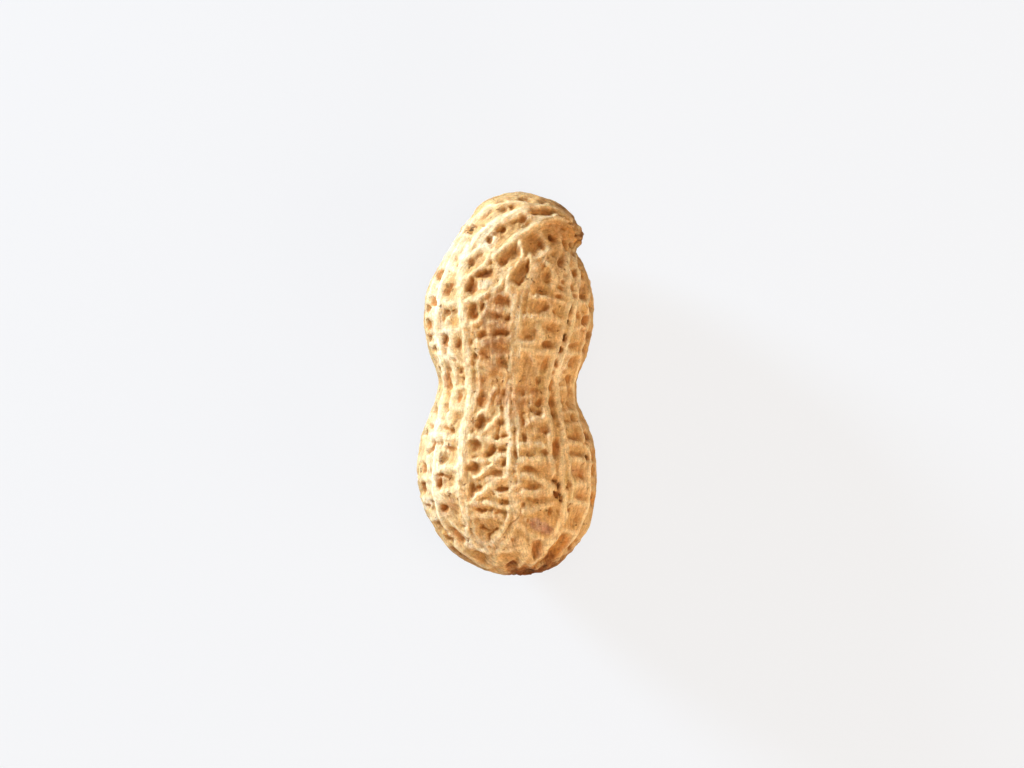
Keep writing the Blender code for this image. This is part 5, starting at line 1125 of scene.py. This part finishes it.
def husk():
    mat = bpy.data.materials.new("peanut_husk")
    mat.use_nodes = True
    tree = mat.node_tree
    shader = tree.nodes["Principled BSDF"]
    place = node(tree, "ShaderNodeTexCoord", (-1800, 0)).outputs["Object"]
    scaled = node(tree, "ShaderNodeMapping", (-1620, 0))
    scaled.inputs["Scale"].default_value = (1000, 1000, 1000)
    tree.links.new(place, scaled.inputs["Vector"])
    mm = scaled.outputs["Vector"]
    ridge = attribute(tree, (-1800, -200), "ridge")
    hollow = attribute(tree, (-1800, -350), "hollow")
    crack = attribute(tree, (-1800, -500), "crack")
    pit_stain_and_shade = attribute(tree, (-1800, -1250), "pit_stain_and_shade")
    scar = attribute(tree, (-1800, -650), "scar")
    cell = attribute(tree, (-1800, -950), "cell")
    stem = attribute(tree, (-1800, -1100), "stem")
    grain = attribute(tree, (-1800, -800), "grain", "Vector")

    blotch = noise_tex(tree, (-1300, 500), mm, 0.22, 4, 0.6)
    patch = noise_tex(tree, (-1500, 700), mm, 2.1, 4, 0.65)
    rust = noise_tex(tree, (-1500, 900), mm, 0.9, 4, 0.6, (1, 0.8, 1.1))
    olive = noise_tex(tree, (-1500, 1100), mm, 0.75, 4, 0.6, (1.1, 0.7, 0.9))
    mottle = noise_tex(tree, (-1300, 300), mm, 1.3, 4, 0.6)
    speck = noise_tex(tree, (-1300, 100), mm, 6.0, 3, 0.6)
    strand = noise_tex(tree, (-1300, -700), grain, 3.6, 4, 0.6, (1, 0.12, 1))
    hair = noise_tex(tree, (-1300, -900), grain, 12.0, 3, 0.6, (1, 0.07, 1))

    tan = (0.58, 0.325, 0.132)
    pale = (0.74, 0.515, 0.270)
    brown = (0.330, 0.118, 0.027)
    deepest = (0.170, 0.046, 0.009)
    dark = (0.16, 0.052, 0.013)
    colour = mix_colour(tree, (-900, 500), ramp(tree, (-1100, 500), blotch, 0.35, 0.68), tan,
                        (0.65, 0.40, 0.185))
    crest = maths(tree, (-1100, 350), "MULTIPLY", ramp(tree, (-1100, 200), ridge, 0.25, 1.05),
                  ramp(tree, (-1100, 50), mottle, 0.28, 0.62, 0.35, 0.95))
    colour = mix_colour(tree, (-700, 500), crest, colour, pale)
    # painted shade, partly: the cell floors, the hollows and the pits are mixed towards darker browns by their depth,
    # besides the husk's own darker pit colour
    colour = mix_colour(tree, (-600, 700), ramp(tree, (-900, 700), cell, 0.15, 0.95, 0, 0.75),
                        colour, (0.51, 0.255, 0.080))
    colour = mix_colour(tree, (-600, 900), ramp(tree, (-900, 850), hollow, 0.10, 0.65, 0, 0.42),
                        colour, (0.45, 0.190, 0.052))
    stale = maths(tree, (-900, 200), "MULTIPLY", ramp(tree, (-1100, -100), pit_stain_and_shade, 0.15, 0.92),
                  ramp(tree, (-1100, -250), speck, 0.25, 0.65, 0.72, 1.0))
    colour = mix_colour(tree, (-500, 500), stale, colour, brown)
    colour = mix_colour(tree, (-400, 700), ramp(tree, (-600, 1000), pit_stain_and_shade, 0.75, 1.20, 0, 0.75), colour,
                        deepest)
    colour = mix_colour(tree, (-300, 500), ramp(tree, (-500, 250), crack, 0.15, 0.9, 0, 0.6),
                        colour, dark)
    colour = mix_colour(tree, (-100, 500), ramp(tree, (-300, 250), scar, 0.2, 0.85, 0, 0.9),
                        colour, (0.14, 0.037, 0.008))
    stained = mix_colour(tree, (0, 700), ramp(tree, (-200, 700), stem, 0.25, 0.95, 0, 0.50), colour, (0.38, 0.120, 0.024))
    # painted shade: skin that faces sideways or down is multiplied darker, more on the -X flank where the key lamp
    # falls
    colour = mix_colour(tree, (100, 700), ramp(tree, (-200, 550), attribute(tree, (-1800, -1400), "side"), 0.0, 1.0),
                        stained, (0.66, 0.59, 0.50), "MULTIPLY")

    # mark colours: real stains and tone, with painted shade in some red, brown and dark marks and painted highlight
    # in the broad pale marks
    for place_y, kind, tint_of, most in ((750, "pale", (0.78, 0.60, 0.38), 0.60),
                                         (900, "red", (0.38, 0.120, 0.026), 0.70),
                                         (1050, "pink", (0.40, 0.185, 0.135), 0.55),
                                         (1200, "orange", (0.55, 0.220, 0.040), 0.75),
                                         (1350, "grey", (0.53, 0.375, 0.205), 0.55),
                                         (1500, "brown", (0.150, 0.038, 0.006), 0.88)):
        field = attribute(tree, (-1800, place_y), kind)
        broken = maths(tree, (-1100, place_y), "MULTIPLY", field,
                       ramp(tree, (-1300, place_y), mottle, 0.25, 0.60, 0.35, 1.0))
        if kind == "pale":       # the hollows keep their own tone
            broken = maths(tree, (-1050, place_y + 60), "MULTIPLY", broken,
                           ramp(tree, (-1300, place_y + 60), pit_stain_and_shade, 0.12, 0.75, 1.0, 0.25))
        colour = mix_colour(tree, (-900, place_y), ramp(tree, (-1000, place_y), broken, 0.05, 0.95, 0, most),
                            colour, tint_of)
    # dark specks and cracks, and painted shade in the bottoms of deep pits and at the low end
    specks_and_shade = attribute(tree, (-1800, 1650), "dark")
    colour = mix_colour(tree, (-900, 1500), ramp(tree, (-1100, 1500), specks_and_shade, 0.15, 0.75, 0, 0.88),
                        colour, (0.075, 0.026, 0.008))
    # small pocks in the cells, stretched along the fibres
    spread = node(tree, "ShaderNodeMapping", (-1500, 2200))
    spread.inputs["Scale"].default_value = (1.55, 0.95, 1.55)
    shifted = node(tree, "ShaderNodeVectorMath", (-1650, 2200), operation="ADD")
    wobble = node(tree, "ShaderNodeTexNoise", (-1800, 2350), Scale=1.6, Detail=2.0)
    tree.links.new(grain, wobble.inputs["Vector"])
    tree.links.new(grain, shifted.inputs[0])
    tree.links.new(wobble.outputs["Color"], shifted.inputs[1])
    tree.links.new(shifted.outputs[0], spread.inputs["Vector"])
    pock = node(tree, "ShaderNodeTexVoronoi", (-1300, 2200), Scale=1.0, Randomness=1.0)
    tree.links.new(spread.outputs["Vector"], pock.inputs["Vector"])
    chosen = node(tree, "ShaderNodeSeparateColor", (-1100, 2350))
    tree.links.new(pock.outputs["Color"], chosen.inputs[0])
    pit = maths(tree, (-900, 2200), "MULTIPLY", ramp(tree, (-1100, 2200), pock.outputs["Distance"], 0.10, 0.26, 1.0, 0.0),
                ramp(tree, (-900, 2350), chosen.outputs[0], 0.45, 0.75))
    pit = maths(tree, (-700, 2200), "MULTIPLY", pit, ramp(tree, (-900, 2500), cell, 0.05, 0.6, 0.30, 1.0), clamp=True)
    colour = mix_colour(tree, (-500, 2200), maths(tree, (-600, 2350), "MULTIPLY", pit, 0.80), colour,
                        (0.20, 0.080, 0.022))
    # dark specks and fibre ends on the crests
    dust = noise_tex(tree, (-1300, 1700), grain, 3.4, 2, 0.5, (1, 0.38, 1))
    dust = ramp(tree, (-1100, 1700), dust, 0.655, 0.74)
    where = maths(tree, (-1100, 1850), "ADD", ramp(tree, (-1300, 1850), attribute(tree, (-1800, 1850), "grey"), 0.05, 0.5, 0, 0.75),
                  ramp(tree, (-1300, 2000), blotch, 0.42, 0.62, 0.12, 0.55))
    colour = mix_colour(tree, (-700, 1700), maths(tree, (-900, 1700), "MULTIPLY", dust, where, clamp=True),
                        colour, (0.15, 0.072, 0.030))
    colour = mix_colour(tree, (0, 900), ramp(tree, (-200, 900), rust, 0.50, 0.72, 0, 0.42),
                        colour, (0.50, 0.215, 0.065))
    colour = mix_colour(tree, (0, 1100), ramp(tree, (-200, 1100), olive, 0.52, 0.74, 0, 0.34),
                        colour, (0.44, 0.32, 0.125))
    streak = ramp(tree, (-700, -300), strand, 0.3, 0.7, 0.81, 1.13)
    flecks = ramp(tree, (-700, -500), speck, 0.3, 0.7, 0.85, 1.11)
    shade = maths(tree, (-300, -300), "MULTIPLY", streak, flecks)
    shade = maths(tree, (-200, -300), "MULTIPLY", shade, ramp(tree, (-700, -650), patch, 0.28, 0.72, 0.80, 1.15))
    tint = node(tree, "ShaderNodeCombineColor", (-100, -300))
    for socket in ("Red", "Green", "Blue"):
        tree.links.new(shade, tint.inputs[socket])
    colour = mix_colour(tree, (100, 500), 1.0, colour, tint.outputs[0], "MULTIPLY")
    tree.links.new(colour, shader.inputs["Base Color"])

    tree.links.new(ramp(tree, (100, -100), mottle, 0.3, 0.7, 0.66, 0.88), shader.inputs["Roughness"])
    shader.inputs["Specular IOR Level"].default_value = 0.06
    shader.inputs["Subsurface Weight"].default_value = 0.22
    shader.inputs["Subsurface Radius"].default_value = (1.0, 0.45, 0.18)
    shader.inputs["Subsurface Scale"].default_value = 0.0006

    fine = maths(tree, (-300, -700), "MULTIPLY", hair, 0.45)
    coarse = maths(tree, (-300, -850), "MULTIPLY", strand, 0.75)
    bump_height = maths(tree, (-100, -750), "ADD", fine, coarse)
    bump_height = maths(tree, (50, -750), "ADD", bump_height, maths(tree, (-100, -950), "MULTIPLY", speck, 0.5))
    bump_height = maths(tree, (120, -900), "SUBTRACT", bump_height, maths(tree, (0, -1000), "MULTIPLY", pit, 0.9))
    bump = node(tree, "ShaderNodeBump", (200, -700), Strength=1.0, Distance=0.00018)
    tree.links.new(bump_height, bump.inputs["Height"])
    tree.links.new(bump.outputs["Normal"], shader.inputs["Normal"])
    return mat


# ---- stage, light, camera ---------------------------------------------------
def stage():
    bpy.ops.mesh.primitive_plane_add(size=8.0, location=(0, 0, 0))
    floor = bpy.context.active_object
    floor.name = "floor"
    mat = bpy.data.materials.new("pale_floor")
    mat.use_nodes = True
    tree = mat.node_tree
    shader = tree.nodes["Principled BSDF"]
    shader.inputs["Base Color"].default_value = (0.09, 0.09, 0.093, 1)
    shader.inputs["Roughness"].default_value = 1.0
    shader.inputs["Specular IOR Level"].default_value = 0.0
    shader.inputs["Emission Color"].default_value = (1.0, 1.0, 1.01, 1)
    shader.inputs["Emission Strength"].default_value = 0.775
    floor.data.materials.append(mat)

    world = bpy.data.worlds.new("studio")
    bpy.context.scene.world = world
    world.use_nodes = True
    tree = world.node_tree
    back = tree.nodes["Background"]
    gen = node(tree, "ShaderNodeTexCoord", (-900, 0)).outputs["Generated"]
    split = node(tree, "ShaderNodeSeparateXYZ", (-700, 0))
    tree.links.new(gen, split.inputs[0])
    colour = mix_colour(tree, (-300, 0), ramp(tree, (-500, 0), split.outputs["Z"], 0.03, 0.30),
                        (0.896, 0.896, 0.913), (0.22, 0.205, 0.185))
    tree.links.new(colour, back.inputs["Color"])
    back.inputs["Strength"].default_value = 1.0


def lamp(name, at, size, power, colour, aim=(0, 0, 0.007)):
    data = bpy.data.lights.new(name, "AREA")
    data.shape = "DISK"
    data.size = size
    data.energy = power
    data.color = colour
    obj = bpy.data.objects.new(name, data)
    bpy.context.scene.collection.objects.link(obj)
    obj.location = at
    obj.rotation_euler = (Vector(aim) - Vector(at)).to_track_quat("-Z", "Y").to_euler()
    return obj


def camera():
    data = bpy.data.cameras.new("camera")
    data.lens = 120.0
    data.sensor_width = 36.0
    data.clip_start = 0.01
    data.clip_end = 50.0
    obj = bpy.data.objects.new("camera", data)
    bpy.context.scene.collection.objects.link(obj)
    obj.location = (4.0 * GRID_STEP, 0.0, EYE_HEIGHT)
    obj.rotation_euler = (0, 0, 0)
    bpy.context.scene.camera = obj


pod = skin()
pod.data.materials.append(husk())
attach(pod, BODY)
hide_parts("peanut")
stage()
lamp("key", (-0.49, 0.33, 0.135), 0.15, 13.9, (0.53, 0.745, 1.0))
lamp("overhead", (0.06, 0.0, 0.75), 0.60, 3.6, (1.0, 0.81, 0.61))
lamp("fill", (0.46, -0.14, 0.26), 0.30, 1.25, (1.0, 0.86, 0.58))
lamp("low", (0.20, -0.50, 0.16), 0.30, 1.75, (1.0, 0.95, 0.86))
camera()
bpy.context.scene.view_settings.view_transform = "Standard"
bpy.context.scene.view_settings.look = "None"
